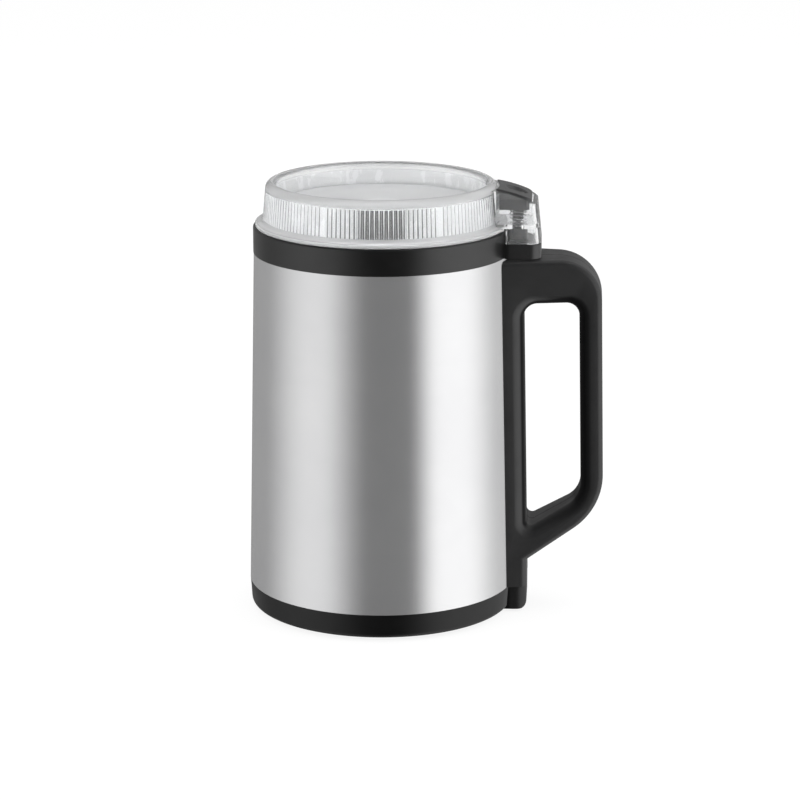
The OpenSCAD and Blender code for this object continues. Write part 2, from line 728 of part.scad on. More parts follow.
// Grooved bush that seals the shaft's hole in the bowl's floor
module shaft_seal() {
    r = bowl_hole_r + seal_flange_w;
    low = bowl_floor_z - bowl_t;
    color(rubber) rotate_extrude() polygon([
        [shaft_r + running_fit, low - seal_flange_t + 0.4], [r, low - seal_flange_t + 0.4], [r, low],
        [bowl_hole_r - press_fit, low], [bowl_hole_r - press_fit, bowl_floor_z], [r, bowl_floor_z],
        [r - 1, bowl_floor_z + seal_flange_t], [shaft_r + running_fit, bowl_floor_z + seal_flange_t]]);
}

// Spider over the stator with the upper bearing seat and four rubber mounts
module upper_bracket() {
    color(steel) difference() {
        union() {
            translate([0, 0, bracket_z0]) cylinder(r = stator_r, h = bracket_t);
            translate([0, 0, upper_hub_z0]) cylinder(r = hub_r, h = upper_hub_z1 - upper_hub_z0);
            for (side = [-1, 1]) translate([0, side * bolt_pos_r, stator_z1])
                cylinder(r = bracket_leg_r, h = bracket_leg_h + past);
        }
        translate([0, 0, upper_hub_z0 - past]) cylinder(r = bushing_r + press_fit, h = bushing_h + 20);
        around([45, 135, 225, 315], mount_r) translate([0, 0, bracket_z0 - past])
            cylinder(r = grommet_neck_r + press_fit, h = bracket_t + 2 * past);
        for (side = [-1, 1]) translate([0, side * bolt_pos_r, stator_z1 - past])
            cylinder(r = bolt_r + press_fit, h = bracket_leg_h + bracket_t + 3 * past);
        for (side = [-1, 1]) translate([side * stator_r * 0.62, 0, bracket_z0 - past])
            cylinder(r = stator_r * 0.24, h = bracket_t + 2 * past);
    }
}

// Cross below the commutator with the lower bearing seat and the brush supports
module lower_bracket() {
    support_w = brush_w + 2 * holder_wall;
    saddle_z = brush_z - brush_h / 2 - holder_wall;
    color(steel) difference() {
        union() {
            translate([-hub_r, -stator_r, lower_z0]) cube([2 * hub_r, 2 * stator_r, lower_t]);
            translate([-holder_end, -support_w / 2, lower_z0]) cube([2 * holder_end, support_w, lower_t]);
            for (side = [-1, 1]) translate([side * (holder_end - 4) - 4, -support_w / 2, lower_z0])
                cube([8, support_w, saddle_z - lower_z0]);
            translate([0, 0, lower_hub_z0]) cylinder(r = hub_r, h = lower_hub_drop + lower_t + 1);
            for (side = [-1, 1]) translate([0, side * bolt_pos_r, lower_z0])
                cylinder(r = bracket_leg_r, h = stator_z0 - lower_z0);
        }
        translate([0, 0, lower_hub_z0 - past]) cylinder(r = bushing_r + press_fit, h = bushing_h + 2 * past);
        for (side = [-1, 1]) translate([0, side * bolt_pos_r, lower_z0 - past])
            cylinder(r = bolt_r + press_fit, h = stator_z0 - lower_z0 + 2 * past);
    }
}

module bushing(z0) {
    color(brass) translate([0, 0, z0]) tube(bushing_r, shaft_r + running_fit, bushing_h);
}

module upper_bushing() {
    bushing(upper_hub_z1 - bushing_h);
}

module lower_bushing() {
    bushing(lower_hub_z0);
}

// Lamination stack with two poles along X
module stator_core() {
    shoe_r = pole_bore_r + pole_shoe_t;
    color(dark_steel) translate([0, 0, stator_z0]) linear_extrude(stator_h) difference() {
        union() {
            difference() {
                circle(stator_r);
                circle(yoke_in_r);
            }
            intersection() {
                circle(shoe_r);
                square([2 * shoe_r, 2 * shoe_r * sin(58)], center = true);
            }
            intersection() {
                circle(yoke_in_r + past);
                square([2 * stator_r, 2 * pole_neck_half_w], center = true);
            }
        }
        circle(pole_bore_r);
        square([2 * pole_bore_r * cos(58), 2 * shoe_r], center = true);
        for (side = [-1, 1]) translate([0, side * bolt_pos_r]) circle(bolt_r + press_fit);
    }
}

// Two coils, each wound round the neck of one pole
module field_coils() {
    shoe_r = pole_bore_r + pole_shoe_t;
    inner_half_h = stator_h / 2 + 0.3;
    outer_half_h = inner_half_h + 4.5;
    color(copper) translate([0, 0, (stator_z0 + stator_z1) / 2]) for (side = [-1, 1]) scale([side, 1, 1])
        intersection() {
            translate([shoe_r * 0.6, 0, 0]) rotate([90, 0, 90]) linear_extrude(yoke_in_r) difference() {
                square([2 * (pole_neck_half_w + 5), 2 * outer_half_h], center = true);
                square([2 * (pole_neck_half_w + 0.3), 2 * inner_half_h], center = true);
            }
            difference() {
                cylinder(r = yoke_in_r - 0.3, h = 2 * outer_half_h, center = true);
                cylinder(r = shoe_r + 0.3, h = 3 * outer_half_h, center = true);
            }
        }
}

module stator_bolts() {
    color(dark_steel) for (side = [-1, 1]) translate([0, side * bolt_pos_r, lower_z0])
        screw(bolt_r, bolt_head_r, bolt_head_t, bracket_z1 - lower_z0 + 2);
}

module motor_grommets() {
    color(rubber) around([45, 135, 225, 315], mount_r) difference() {
        union() {
            translate([0, 0, bracket_z1]) cylinder(r = grommet_r, h = grommet_top_t);
            translate([0, 0, bracket_z0 - past / 2]) cylinder(r = grommet_neck_r, h = bracket_t + past);
            translate([0, 0, bracket_z0 - grommet_low_t]) cylinder(r = grommet_r, h = grommet_low_t);
        }
        translate([0, 0, bracket_z0 - 2 * grommet_low_t]) cylinder(r = screw_r + fit, h = 20);
    }
}

module motor_screws() {
    color(dark_steel) around([45, 135, 225, 315], mount_r) translate([0, 0, bracket_z0 - grommet_low_t])
        screw(screw_r, screw_head_r, screw_head_t, deck_z1 - 1.2 - bracket_z0 + grommet_low_t);
}

// Box tube for a brush, closed at its outer end
module brush_holders() {
    color(brass) for (side = [-1, 1]) scale([side, 1, 1]) translate([0, 0, brush_z]) difference() {
        translate([holder_start, -brush_w / 2 - holder_wall, -brush_h / 2 - holder_wall])
            cube([holder_l, brush_w + 2 * holder_wall, brush_h + 2 * holder_wall]);
        translate([holder_start - past, -brush_w / 2 - press_fit, -brush_h / 2 - press_fit])
            cube([holder_l + past - holder_wall, brush_w + 2 * press_fit, brush_h + 2 * press_fit]);
    }
}

module carbon_brushes() {
    color("#222222") for (side = [-1, 1]) scale([side, 1, 1]) translate([0, 0, brush_z]) difference() {
        translate([commutator_r * 0.8, -brush_w / 2, -brush_h / 2])
            cube([brush_start + brush_l - commutator_r * 0.8, brush_w, brush_h]);
        cylinder(r = brush_start, h = 2 * brush_h, center = true);
    }
}

module brush_springs() {
    x0 = brush_start + brush_l + brush_spring_wire / 2 + 0.1;
    x1 = holder_end - holder_wall - brush_spring_wire / 2 - 0.1;
    color(steel) for (side = [-1, 1]) rotate([0, 0, 90 - 90 * side]) translate([x0, 0, brush_z])
        rotate([0, 90, 0]) coil_wire(brush_spring_r, brush_spring_wire, brush_spring_turns, x1 - x0);
}

// Hollow of the handle in X and Z, with solid bosses round the joining screws
module handle_cavity() {
    difference() {
        polygon(handle_outline(handle_wall));
        polygon(gap_outline(handle_wall));
        translate([0, -past]) square([2 * body_base_r, handle_z0 + handle_wall + past]);
        for (p = joint_screws) translate(p) circle(joint_boss_r);
    }
}

// Half of the handle on the +Y side of its seam, hollow, without its joining screw holes
module handle_half() {
    difference() {
        loft(handle_sections, inward = 2);
        loft(gap_sections);
        body_space(fit);
        difference() {
            rotate([90, 0, 0]) translate([0, 0, -handle_half_w])
                linear_extrude(handle_half_w + past) handle_cavity();
            translate([body_top_r, handle_half_w - gap_edge_r]) rotate([0, 0, -side_lean])
                translate([-body_base_r, 0]) cube([2 * body_base_r, handle_half_w, 2 * handle_z1]);
        }
        translate([switch_x, 0, arm_roof_z - past]) cylinder(r = rod_r + 0.3, h = handle_wall + 2 * past);
        for (z = handle_screw_zs) translate([body_top_r / 2, handle_screw_y, z]) rotate([0, 90, 0])
            cylinder(r = screw_r + press_fit, h = handle_screw_tip(z) + 0.5 - body_top_r / 2);
    }
}

// X of the tip of a handle screw, measured out from the sleeve's outer face
function handle_screw_tip(z) = sqrt(pow(body_r(z), 2) - pow(handle_screw_y, 2)) + handle_screw_depth;

module handle_front() {
    color(black_plastic) difference() {
        mirror([0, 1, 0]) handle_half();
        for (p = joint_screws) translate([p[0], past, p[1]]) rotate([90, 0, 0])
            cylinder(r = joint_screw_r + press_fit, h = joint_reach + past + 0.5);
    }
}

module handle_rear() {
    color(black_plastic) difference() {
        handle_half();
        for (p = joint_screws) translate([p[0], 0, p[1]]) rotate([-90, 0, 0]) {
            translate([0, 0, -past]) cylinder(r = joint_screw_r + fit, h = handle_half_w + 2 * past);
            translate([0, 0, joint_seat_y(p)])
                cylinder(r = screw_head_r + 0.3, h = handle_half_w);
        }
    }
}

// Screws from the rear half into the front half
module handle_joint_screws() {
    color(dark_steel) for (p = joint_screws) translate([p[0], joint_seat_y(p), p[1]]) rotate([90, 0, 0])
        screw(joint_screw_r, screw_head_r, screw_head_t, joint_seat_y(p) + joint_reach);
}

// Screws from inside the sleeve into the strip
module handle_body_screws() {
    color(dark_steel) for (z = handle_screw_zs) for (side = [-1, 1]) {
        head_y = handle_screw_y + screw_head_r;
        seat_x = sqrt(pow(body_r(z) - sleeve_t, 2) - pow(head_y, 2)) - 0.1;
        translate([seat_x, side * handle_screw_y, z]) rotate([0, 90, 0])
            screw(screw_r, screw_head_r, screw_head_t, handle_screw_tip(z) - seat_x);
    }
}

module microswitch() {
    ear_t = 0.9;
    color(dark_plastic) difference() {
        union() {
            translate([switch_x0, -switch_half_w, switch_z0]) cube([switch_l, 2 * switch_half_w, switch_h]);
            for (side = [-1, 1]) translate([pivot_x, side * (switch_half_w - ear_t / 2), switch_z1]) {
                translate([-barrel_r, -ear_t / 2, -past])
                    cube([2 * barrel_r, ear_t, pivot_z - switch_z1 + past]);
                translate([0, 0, pivot_z - switch_z1]) rotate([90, 0, 0])
                    cylinder(r = barrel_r, h = ear_t, center = true);
            }
            translate([pivot_x, 0, pivot_z]) rotate([90, 0, 0])
                cylinder(r = pivot_r, h = 2 * switch_half_w - ear_t, center = true);
        }
        translate([plunger_x, 0, switch_z1 - plunger_depth - 1])
            cylinder(r = plunger_r + running_fit, h = plunger_depth + 1 + past);
    }
}

// Flat tabs out of the end of the microswitch
module switch_terminals() {
    color(brass) for (side = [-1, 1])
        translate([switch_x0 + switch_l, side * 1.4 - 0.3, switch_z0 + 1]) cube([4, 0.6, 2.6]);
}

module switch_plunger() {
    color("#b03030") translate([plunger_x, 0, switch_z1 - plunger_depth])
        cylinder(r = plunger_r, h = plunger_z1 - switch_z1 + plunger_depth);
}

// Leaf with a barrel round the pivot, held up at rest
module switch_lever() {
    color(steel) translate([pivot_x, 0, pivot_z]) rotate([0, lever_angle, 0]) difference() {
        union() {
            rotate([90, 0, 0]) cylinder(r = barrel_r, h = 2 * lever_half_w, center = true);
            translate([-lever_l, -lever_half_w, -lever_t / 2]) cube([lever_l, 2 * lever_half_w, lever_t]);
        }
        rotate([90, 0, 0]) cylinder(r = pivot_r + running_fit, h = 4 * lever_half_w, center = true);
    }
}

// Rod through the guide post, with a narrow tip over the lever and a collar under the arm's roof
module switch_rod() {
    color(dark_plastic) translate([switch_x, 0, 0]) {
        translate([0, 0, rod_z0]) cylinder(r1 = rod_tip_r, r2 = rod_tip_r + 0.3, h = collar_z1 - rod_z0);
        translate([0, 0, collar_z1 - collar_t]) cylinder(r = collar_r, h = collar_t);
        translate([0, 0, collar_z1 - collar_t]) cylinder(r = rod_r, h = rod_z1 - collar_z1 + collar_t);
    }
}

module motor_shaft() {
    color(steel) translate([0, 0, shaft_z0]) cylinder(r = shaft_r, h = shaft_z1 - shaft_z0);
}

module rotor_core() {
    slot_pos_r = rotor_r * 0.74;
    slot_r = rotor_r * 0.13;
    color(dark_steel) translate([0, 0, stator_z0]) linear_extrude(stator_h) difference() {
        circle(rotor_r);
        circle(shaft_r + press_fit);
        for (i = [0:rotor_slots - 1]) rotate(i * 360 / rotor_slots) {
            translate([slot_pos_r, 0]) circle(slot_r);
            translate([slot_pos_r, -0.8]) square([rotor_r, 1.6]);
        }
    }
}

// Bars of wire in the slots and the end turns above and below
module rotor_winding() {
    slot_pos_r = rotor_r * 0.74;
    bar_r = rotor_r * 0.13 - fit;
    turn_out_r = slot_pos_r + bar_r + 0.3;
    turn_in_r = shaft_r + 1.4;
    turns = [[turn_in_r, 0.3], [turn_out_r, 0.3], [turn_out_r - 0.5, end_turn_h * 0.6],
        [turn_out_r - 3, end_turn_h], [turn_in_r, end_turn_h]];
    color(copper) {
        translate([0, 0, stator_z1]) rotate_extrude() polygon(turns);
        translate([0, 0, stator_z0]) mirror([0, 0, 1]) rotate_extrude() polygon(turns);
        for (i = [0:rotor_slots - 1]) rotate([0, 0, i * 360 / rotor_slots])
            translate([slot_pos_r, 0, stator_z0 - past]) cylinder(r = bar_r, h = stator_h + 2 * past);
    }
}

module commutator() {
    color(copper) translate([0, 0, commutator_z0]) difference() {
        cylinder(r = commutator_r, h = commutator_h);
        translate([0, 0, -past]) cylinder(r = shaft_r + press_fit, h = commutator_h + 2 * past);
        for (i = [0:2 * rotor_slots - 1]) rotate([0, 0, i * 180 / rotor_slots])
            translate([commutator_r - 0.8, -0.2, -past]) cube([2, 0.4, commutator_h + 2 * past]);
    }
}

module cooling_fan() {
    fan_hub_r = shaft_r + 3;
    color(dark_plastic) translate([0, 0, fan_z0]) difference() {
        union() {
            cylinder(r = fan_r, h = fan_plate_t);
            cylinder(r = fan_hub_r, h = fan_plate_t + fan_blade_h);
            for (i = [0:fan_blades - 1]) rotate([0, 0, i * 360 / fan_blades])
                translate([fan_hub_r - 0.5, -0.7, fan_plate_t - 0.5])
                    cube([fan_r - fan_hub_r - 0.2, 1.4, fan_blade_h + 0.5]);
        }
        translate([0, 0, -past]) cylinder(r = shaft_r + press_fit, h = fan_blade_h + fan_plate_t + 2 * past);
    }
}

// Two-armed blade: flat round its hub, tips bent up, leading edges ground
module blade() {
    tip_r = blade_l / 2;
    tip_z = (tip_r - blade_flat_r) * tan(blade_bend);
    lift = blade_t / cos(blade_bend);
    side = [[0, 0], [blade_flat_r, 0], [tip_r, tip_z], [tip_r, tip_z + lift],
        [blade_flat_r - blade_t * tan(blade_bend / 2), blade_t], [0, blade_t]];
    color(steel) translate([0, 0, blade_z0]) difference() {
        union() for (turn = [0, 180]) rotate([0, 0, turn]) rotate([90, 0, 0])
            linear_extrude(blade_w, center = true) polygon(side);
        translate([0, 0, -past]) cylinder(r = shaft_r + press_fit, h = blade_t + 2 * past);
        for (turn = [0, 180]) rotate([0, 0, turn]) translate([blade_flat_r, -blade_w / 2, blade_t])
            rotate([0, -blade_bend, 0]) rotate([32, 0, 0]) translate([-past, -3, -blade_t])
                cube([tip_r, 4, 2 * blade_t]);
    }
}

module blade_spacer() {
    z0 = bowl_floor_z + seal_flange_t + 0.3;
    color(brass) translate([0, 0, z0]) tube(blade_hub_r, shaft_r + press_fit, blade_z0 - z0);
}

module blade_nut() {
    nut_r = shaft_r + 2.8;
    color(steel) translate([0, 0, blade_z0 + blade_t]) difference() {
        cylinder(r = nut_r, h = nut_h, $fn = 6);
        translate([0, 0, -past]) cylinder(r = shaft_r + press_fit, h = nut_h + 2 * past);
    }
}

// Revolved body of the lid: flange, outer wall, rim, dish and the spigot that fits the bowl
module lid_round() {
    groove_top_r = lid_top_r - lid_wall;
    under_z = lid_floor_z - lid_floor_t;
    outer = concat(
        [[lid_foot_r - lid_wall, lid_z0], [lid_flange_r, lid_z0], [lid_flange_r, lid_z0 + lid_flange_t]],
        arc([lid_foot_r + lid_foot_fillet, lid_z0 + lid_flange_t + lid_foot_fillet], lid_foot_fillet,
            270, 180, edge_steps),
        arc([lid_top_r - lid_shoulder_r, lid_z1 - lid_shoulder_r], lid_shoulder_r, 0, 90, edge_steps));
    dish = concat(
        [[lid_rim_in_r, lid_z1]],
        arc([lid_cup_r - lid_cup_fillet, lid_floor_z + lid_cup_fillet], lid_cup_fillet, 0, -90, edge_steps),
        [[lid_centre_r, lid_floor_z], [lid_centre_r * 0.75, lid_floor_z - lid_centre_h * 0.7],
         [0, lid_floor_z - lid_centre_h]]);
    under = [
        [0, under_z - lid_centre_h], [lid_centre_r, under_z - lid_centre_h],
        [lid_centre_r + 1, under_z], [lid_spigot_r - lid_wall, under_z],
        [lid_spigot_r - lid_wall, lid_spigot_z0], [lid_spigot_r, lid_spigot_z0],
        [lid_spigot_r, lid_groove_z], [groove_top_r, lid_groove_z]];
    rotate_extrude() polygon(concat(outer, dish, under));
}

// Solid under the crown of the button, let down by drop
module under_crown(drop) {
    translate([crown_x, 0, crown_z]) rotate([90, 0, 0])
        cylinder(r = crown_r - drop, h = 4 * boss_half_w, center = true);
}

// Clear box beside the lid that holds the button over the guide post
module lid_lug() {
    inner_half_w = lug_half_w - lid_wall;
    inner_x = lug_x - lid_wall;
    inner_r = boss_corner_r - lid_wall;
    lean = [0, -lug_lean, 0];
    intersection() {
        difference() {
            translate([0, 0, lug_z0]) linear_extrude(lid_z1 - lug_z0)
                tab_outline(lid_top_r / 2, lug_x, lug_half_w, boss_corner_r);
            cylinder(r = lid_top_r - lid_wall / 2, h = 2 * lid_z1);
            translate([0, 0, lug_z0 - past]) cylinder(r = ring_r + 0.3, h = lid_z0 - lug_z0 + past);
            difference() {
                union() {
                    translate([0, 0, web_z1]) linear_extrude(lid_h)
                        tab_outline(lid_top_r / 2, inner_x, inner_half_w, inner_r);
                    translate([0, 0, lug_z0 - past]) linear_extrude(web_z0 - lug_z0 + past)
                        tab_outline(lid_top_r / 2, inner_x, inner_half_w, inner_r);
                }
                translate([0, 0, web_z1 - past]) cylinder(r = lid_foot_r, h = lid_h);
                translate([lug_x - lid_wall, 0, lug_z0 + 10]) rotate(lean)
                    translate([0, -boss_half_w, -lid_h]) cube([20, 2 * boss_half_w, 3 * lid_h]);
            }
            translate([switch_x, 0, web_z0 - past]) cylinder(r = stem_r + running_fit, h = web_t + 2 * past);
        }
        under_crown(lug_crown_drop);
        translate([lug_x, 0, lug_z0]) rotate(lean)
            translate([-2 * lug_x, -2 * boss_half_w, -lid_h]) cube([2 * lug_x, 4 * boss_half_w, 3 * lid_h]);
    }
}

module lid() {
    color(clear_plastic) {
        lid_round();
        lid_lug();
    }
}

module button_spring() {
    h = spring_z1 - spring_z0 - spring_wire;
    gap = coil_gap(coil_path(spring_r, spring_wire, spring_turns, h), spring_wire);
    echo(str("least gap between turns of the return spring ", gap));
    color(steel) translate([switch_x, 0, spring_z0 + spring_wire / 2])
        coil_wire(spring_r, spring_wire, spring_turns, h);
}

// Plan outline of the button's skirt, drawn in by d, hollow along the lid's wall
module skirt_outline(d) {
    difference() {
        tab_outline(lid_top_r / 2, skirt_x1 - d, skirt_half_w - d, skirt_wall);
        circle(skirt_x0 + d);
    }
}

// Crowned plate with a finger dimple, a hollow skirt, a stem through the web and a pin
module push_button() {
    dimple_x = (button_x0 + button_x1) / 2;
    color(black_plastic) difference() {
        union() {
            intersection() {
                translate([0, 0, skirt_z0]) linear_extrude(lid_h) difference() {
                    tab_outline(lid_top_r / 2, button_x1, button_half_w, button_corner_r);
                    circle(button_x0);
                }
                difference() {
                    under_crown(0);
                    under_crown(button_plate_t);
                }
            }
            intersection() {
                translate([0, 0, skirt_z0]) linear_extrude(lid_h) difference() {
                    skirt_outline(0);
                    skirt_outline(skirt_wall);
                }
                under_crown(button_plate_t / 2);
            }
            intersection() {
                translate([switch_x, 0, stem_z0]) cylinder(r = stem_r, h = lid_h);
                under_crown(button_plate_t / 2);
            }
            translate([switch_x, 0, pin_z0]) cylinder(r = pin_r, h = stem_z0 - pin_z0 + past);
        }
        translate([dimple_x, 0, crown_top(dimple_x) + dimple_r - dimple_h]) sphere(dimple_r);
    }
}

foot_ring();
base();
base_screws();
cord_gland();
steel_sleeve();
top_ring();
ring_screws();
motor_frame();
grinding_bowl();
bowl_gasket();
shaft_seal();
upper_bracket();
lower_bracket();
upper_bushing();
lower_bushing();
stator_core();
field_coils();
stator_bolts();
motor_grommets();
motor_screws();
brush_holders();
carbon_brushes();
brush_springs();
handle_front();
handle_rear();
handle_joint_screws();
handle_body_screws();
microswitch();
switch_terminals();
motor_shaft();
rotor_core();
rotor_winding();
commutator();
cooling_fan();
blade();
blade_spacer();
blade_nut();
lid();
button_spring();
push_button();
switch_rod();
switch_lever();
switch_plunger();
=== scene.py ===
import json
import math
import bpy
import bmesh
import numpy
from mathutils import Matrix, Vector


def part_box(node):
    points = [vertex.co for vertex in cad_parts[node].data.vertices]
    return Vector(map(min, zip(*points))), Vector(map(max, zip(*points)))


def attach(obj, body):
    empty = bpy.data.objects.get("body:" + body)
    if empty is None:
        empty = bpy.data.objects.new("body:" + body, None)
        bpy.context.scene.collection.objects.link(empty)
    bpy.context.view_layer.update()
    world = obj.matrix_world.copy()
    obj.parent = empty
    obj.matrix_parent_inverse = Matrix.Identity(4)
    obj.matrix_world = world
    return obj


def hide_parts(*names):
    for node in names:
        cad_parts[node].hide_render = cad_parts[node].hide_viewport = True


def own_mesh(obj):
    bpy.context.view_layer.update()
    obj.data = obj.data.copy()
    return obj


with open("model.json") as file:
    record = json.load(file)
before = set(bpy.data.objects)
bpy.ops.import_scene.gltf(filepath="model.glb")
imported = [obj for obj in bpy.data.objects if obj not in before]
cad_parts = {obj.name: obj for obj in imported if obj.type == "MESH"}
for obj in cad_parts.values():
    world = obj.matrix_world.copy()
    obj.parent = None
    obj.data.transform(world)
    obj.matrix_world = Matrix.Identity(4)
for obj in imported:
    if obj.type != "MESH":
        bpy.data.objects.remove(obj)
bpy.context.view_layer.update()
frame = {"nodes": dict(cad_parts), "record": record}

nodes = frame["nodes"]
mm = 0.001
past = 1.0  # millimetres that a tool reaches past what it cuts
scene = bpy.context.scene
scene.view_settings.view_transform = "Standard"
print("frame loaded:", len(nodes), "nodes")


# node and material helpers

def addNode(tree, kind, **settings):
    node = tree.nodes.new(kind)
    for key, value in settings.items():
        if key in node.inputs:
            node.inputs[key].default_value = value
        else:
            setattr(node, key, value)
    return node


def newMaterial(name, color, roughness, metallic=0.0, specular=0.5):
    material = bpy.data.materials.new(name)
    material.use_nodes = True
    tree = material.node_tree
    shader = tree.nodes["Principled BSDF"]
    shader.inputs["Base Color"].default_value = (*color, 1.0)
    shader.inputs["Roughness"].default_value = roughness
    shader.inputs["Metallic"].default_value = metallic
    shader.inputs["Specular IOR Level"].default_value = specular
    return material, tree, shader


def stretchedNoise(tree, stretch, detail=3.0):
    place = addNode(tree, "ShaderNodeTexCoord")
    mapping = addNode(tree, "ShaderNodeMapping", Scale=stretch)
    noise = addNode(tree, "ShaderNodeTexNoise", Scale=1.0, Detail=detail, Roughness=0.6)
    tree.links.new(place.outputs["Object"], mapping.inputs["Vector"])
    tree.links.new(mapping.outputs["Vector"], noise.inputs["Vector"])
    return noise.outputs["Fac"]


def mapped(tree, source, fromLow, fromHigh, low=0.0, high=1.0):
    spread = addNode(tree, "ShaderNodeMapRange")
    for label, value in (("From Min", fromLow), ("From Max", fromHigh), ("To Min", low), ("To Max", high)):
        spread.inputs[label].default_value = value
    tree.links.new(source, spread.inputs["Value"])
    return spread.outputs["Result"]


def toRange(tree, source, low, high):  # most of a noise lies between 0.3 and 0.7
    return mapped(tree, source, 0.3, 0.7, low, high)


def tint(tree, shader, source, dark, light):
    blend = addNode(tree, "ShaderNodeMix", data_type="RGBA")
    blend.inputs["A"].default_value = (*dark, 1.0)
    blend.inputs["B"].default_value = (*light, 1.0)
    tree.links.new(toRange(tree, source, 0.0, 1.0), blend.inputs["Factor"])
    tree.links.new(blend.outputs["Result"], shader.inputs["Base Color"])


def bump(tree, shader, source, relief, depth):
    height = addNode(tree, "ShaderNodeBump", Strength=relief, Distance=depth)
    tree.links.new(source, height.inputs["Height"])
    tree.links.new(height.outputs["Normal"], shader.inputs["Normal"])


def roughen(tree, shader, source, rough):
    tree.links.new(toRange(tree, source, *rough), shader.inputs["Roughness"])


def lineSkin(tree, shader, lines, rough, relief, depth):
    source = stretchedNoise(tree, lines)
    roughen(tree, shader, source, rough)
    bump(tree, shader, source, relief, depth)
    return source


def makeSatinSteel():  # drawn sleeve, finely brushed round its axis
    material, tree, shader = newMaterial("satinSteel", (0.80, 0.80, 0.81), 0.2, metallic=0.8)
    lineSkin(tree, shader, (14, 14, 5200), rough=(0.17, 0.24), relief=0.05, depth=0.00002)
    tint(tree, shader, stretchedNoise(tree, (22, 22, 22)), (0.78, 0.78, 0.79), (0.83, 0.83, 0.835))
    return material


def makeBrightSteel(name, dark, light, lines, metallic):  # polished sheet, lined as it was machined
    material, tree, shader = newMaterial(name, light, 0.2, metallic=metallic)
    lineSkin(tree, shader, lines, rough=(0.16, 0.28), relief=0.06, depth=0.00002)
    tint(tree, shader, stretchedNoise(tree, (60, 60, 60)), dark, light)
    return material


def makePlastic(name, dark, light, rough, grain, relief, specular=0.5):  # moulded skin with a fine grain
    material, tree, shader = newMaterial(name, light, rough[1], specular=specular)
    tint(tree, shader, stretchedNoise(tree, (90, 90, 90)), dark, light)
    roughen(tree, shader, stretchedNoise(tree, (130, 130, 130)), rough)
    bump(tree, shader, stretchedNoise(tree, (grain, grain, grain), 2.0), relief, depth=0.00005)
    return material


def makeClear(name, color, clear, rough=(0.012, 0.05)):  # moulded plastic with faint flow marks
    material, tree, shader = newMaterial(name, color, 0.03)
    shader.inputs["Transmission Weight"].default_value = clear
    shader.inputs["IOR"].default_value = 1.58
    roughen(tree, shader, stretchedNoise(tree, (260, 260, 90)), rough)
    bump(tree, shader, stretchedNoise(tree, (340, 340, 120), 1.0), relief=0.04, depth=0.00005)
    return material


def makeMetal(name, dark, light, rough, lines, relief):  # bare or plated metal
    material, tree, shader = newMaterial(name, light, rough[1], metallic=1.0)
    tint(tree, shader, lineSkin(tree, shader, lines, rough, relief, depth=0.00004), dark, light)
    return material


finishes = {
    "satin_steel": makeSatinSteel(),
    "bright_steel": makeBrightSteel("brightSteel", (0.66, 0.66, 0.67), (0.75, 0.75, 0.755),
                                    lines=(420, 420, 3200), metallic=1.0),
    "black_plastic": makePlastic("blackPlastic", (0.0015, 0.0015, 0.0016), (0.0026, 0.0026, 0.0027),
                                 rough=(0.28, 0.35), grain=2400, relief=0.08, specular=0.78),
    "dark_plastic": makePlastic("darkPlastic", (0.030, 0.030, 0.031), (0.042, 0.042, 0.043),
                                rough=(0.42, 0.55), grain=1800, relief=0.15),
    "black_rubber": makePlastic("blackRubber", (0.012, 0.012, 0.012), (0.022, 0.022, 0.021),
                                rough=(0.62, 0.80), grain=1500, relief=0.35, specular=0.35),
    "red_plastic": makePlastic("redPlastic", (0.42, 0.015, 0.012), (0.50, 0.022, 0.018),
                               rough=(0.35, 0.45), grain=2200, relief=0.10),
    "clear_plastic": makeClear("clearPlastic", (0.97, 0.975, 0.98), clear=0.92),
    "zinc_screws": makeMetal("zincScrews", (0.45, 0.46, 0.47), (0.60, 0.61, 0.62),
                             rough=(0.28, 0.42), lines=(900, 900, 900), relief=0.15),
    "cast_bracket": makeMetal("castBracket", (0.40, 0.41, 0.42), (0.52, 0.53, 0.54),
                              rough=(0.45, 0.60), lines=(700, 700, 700), relief=0.35),
    "lamination_iron": makeMetal("laminationIron", (0.16, 0.16, 0.17), (0.34, 0.34, 0.35),
                                 rough=(0.35, 0.55), lines=(30, 30, 2000), relief=0.5),
    "copper": makeMetal("enamelledCopper", (0.50, 0.16, 0.06), (0.72, 0.28, 0.12),
                        rough=(0.25, 0.42), lines=(1500, 1500, 160), relief=0.5),
    "brass": makeMetal("turnedBrass", (0.55, 0.40, 0.16), (0.68, 0.52, 0.24),
                       rough=(0.22, 0.36), lines=(60, 60, 2600), relief=0.2),
    "carbon": makePlastic("carbonBlock", (0.018, 0.018, 0.019), (0.040, 0.040, 0.042),
                          rough=(0.45, 0.65), grain=1600, relief=0.35, specular=0.6),
}
handlePlastic = makePlastic("handlePlastic", (0.023, 0.023, 0.0235), (0.028, 0.028, 0.0285),
                            rough=(0.36, 0.44), grain=2000, relief=0.14, specular=0.6)
basePlastic = makePlastic("basePlastic", (0.0015, 0.0015, 0.0016), (0.0026, 0.0026, 0.0027),
                          rough=(0.32, 0.40), grain=2200, relief=0.10, specular=0.38)
buttonPlastic = makePlastic("buttonPlastic", (0.058, 0.058, 0.0585), (0.068, 0.068, 0.0685),
                            rough=(0.30, 0.38), grain=2200, relief=0.10, specular=0.6)
lugPlastic = makeClear("lugPlastic", (0.95, 0.955, 0.96), clear=0.94)
frostedPlastic = makeClear("frostedPlastic", (0.87, 0.875, 0.88), clear=0.5, rough=(0.06, 0.10))
mattPlastic = makeClear("mattPlastic", (0.94, 0.945, 0.95), clear=0.1, rough=(0.22, 0.30))
rimPlastic = makeClear("rimPlastic", (0.98, 0.983, 0.986), clear=0.62, rough=(0.05, 0.09))
cupPlastic = makeClear("cupPlastic", (0.74, 0.745, 0.75), clear=0.74)
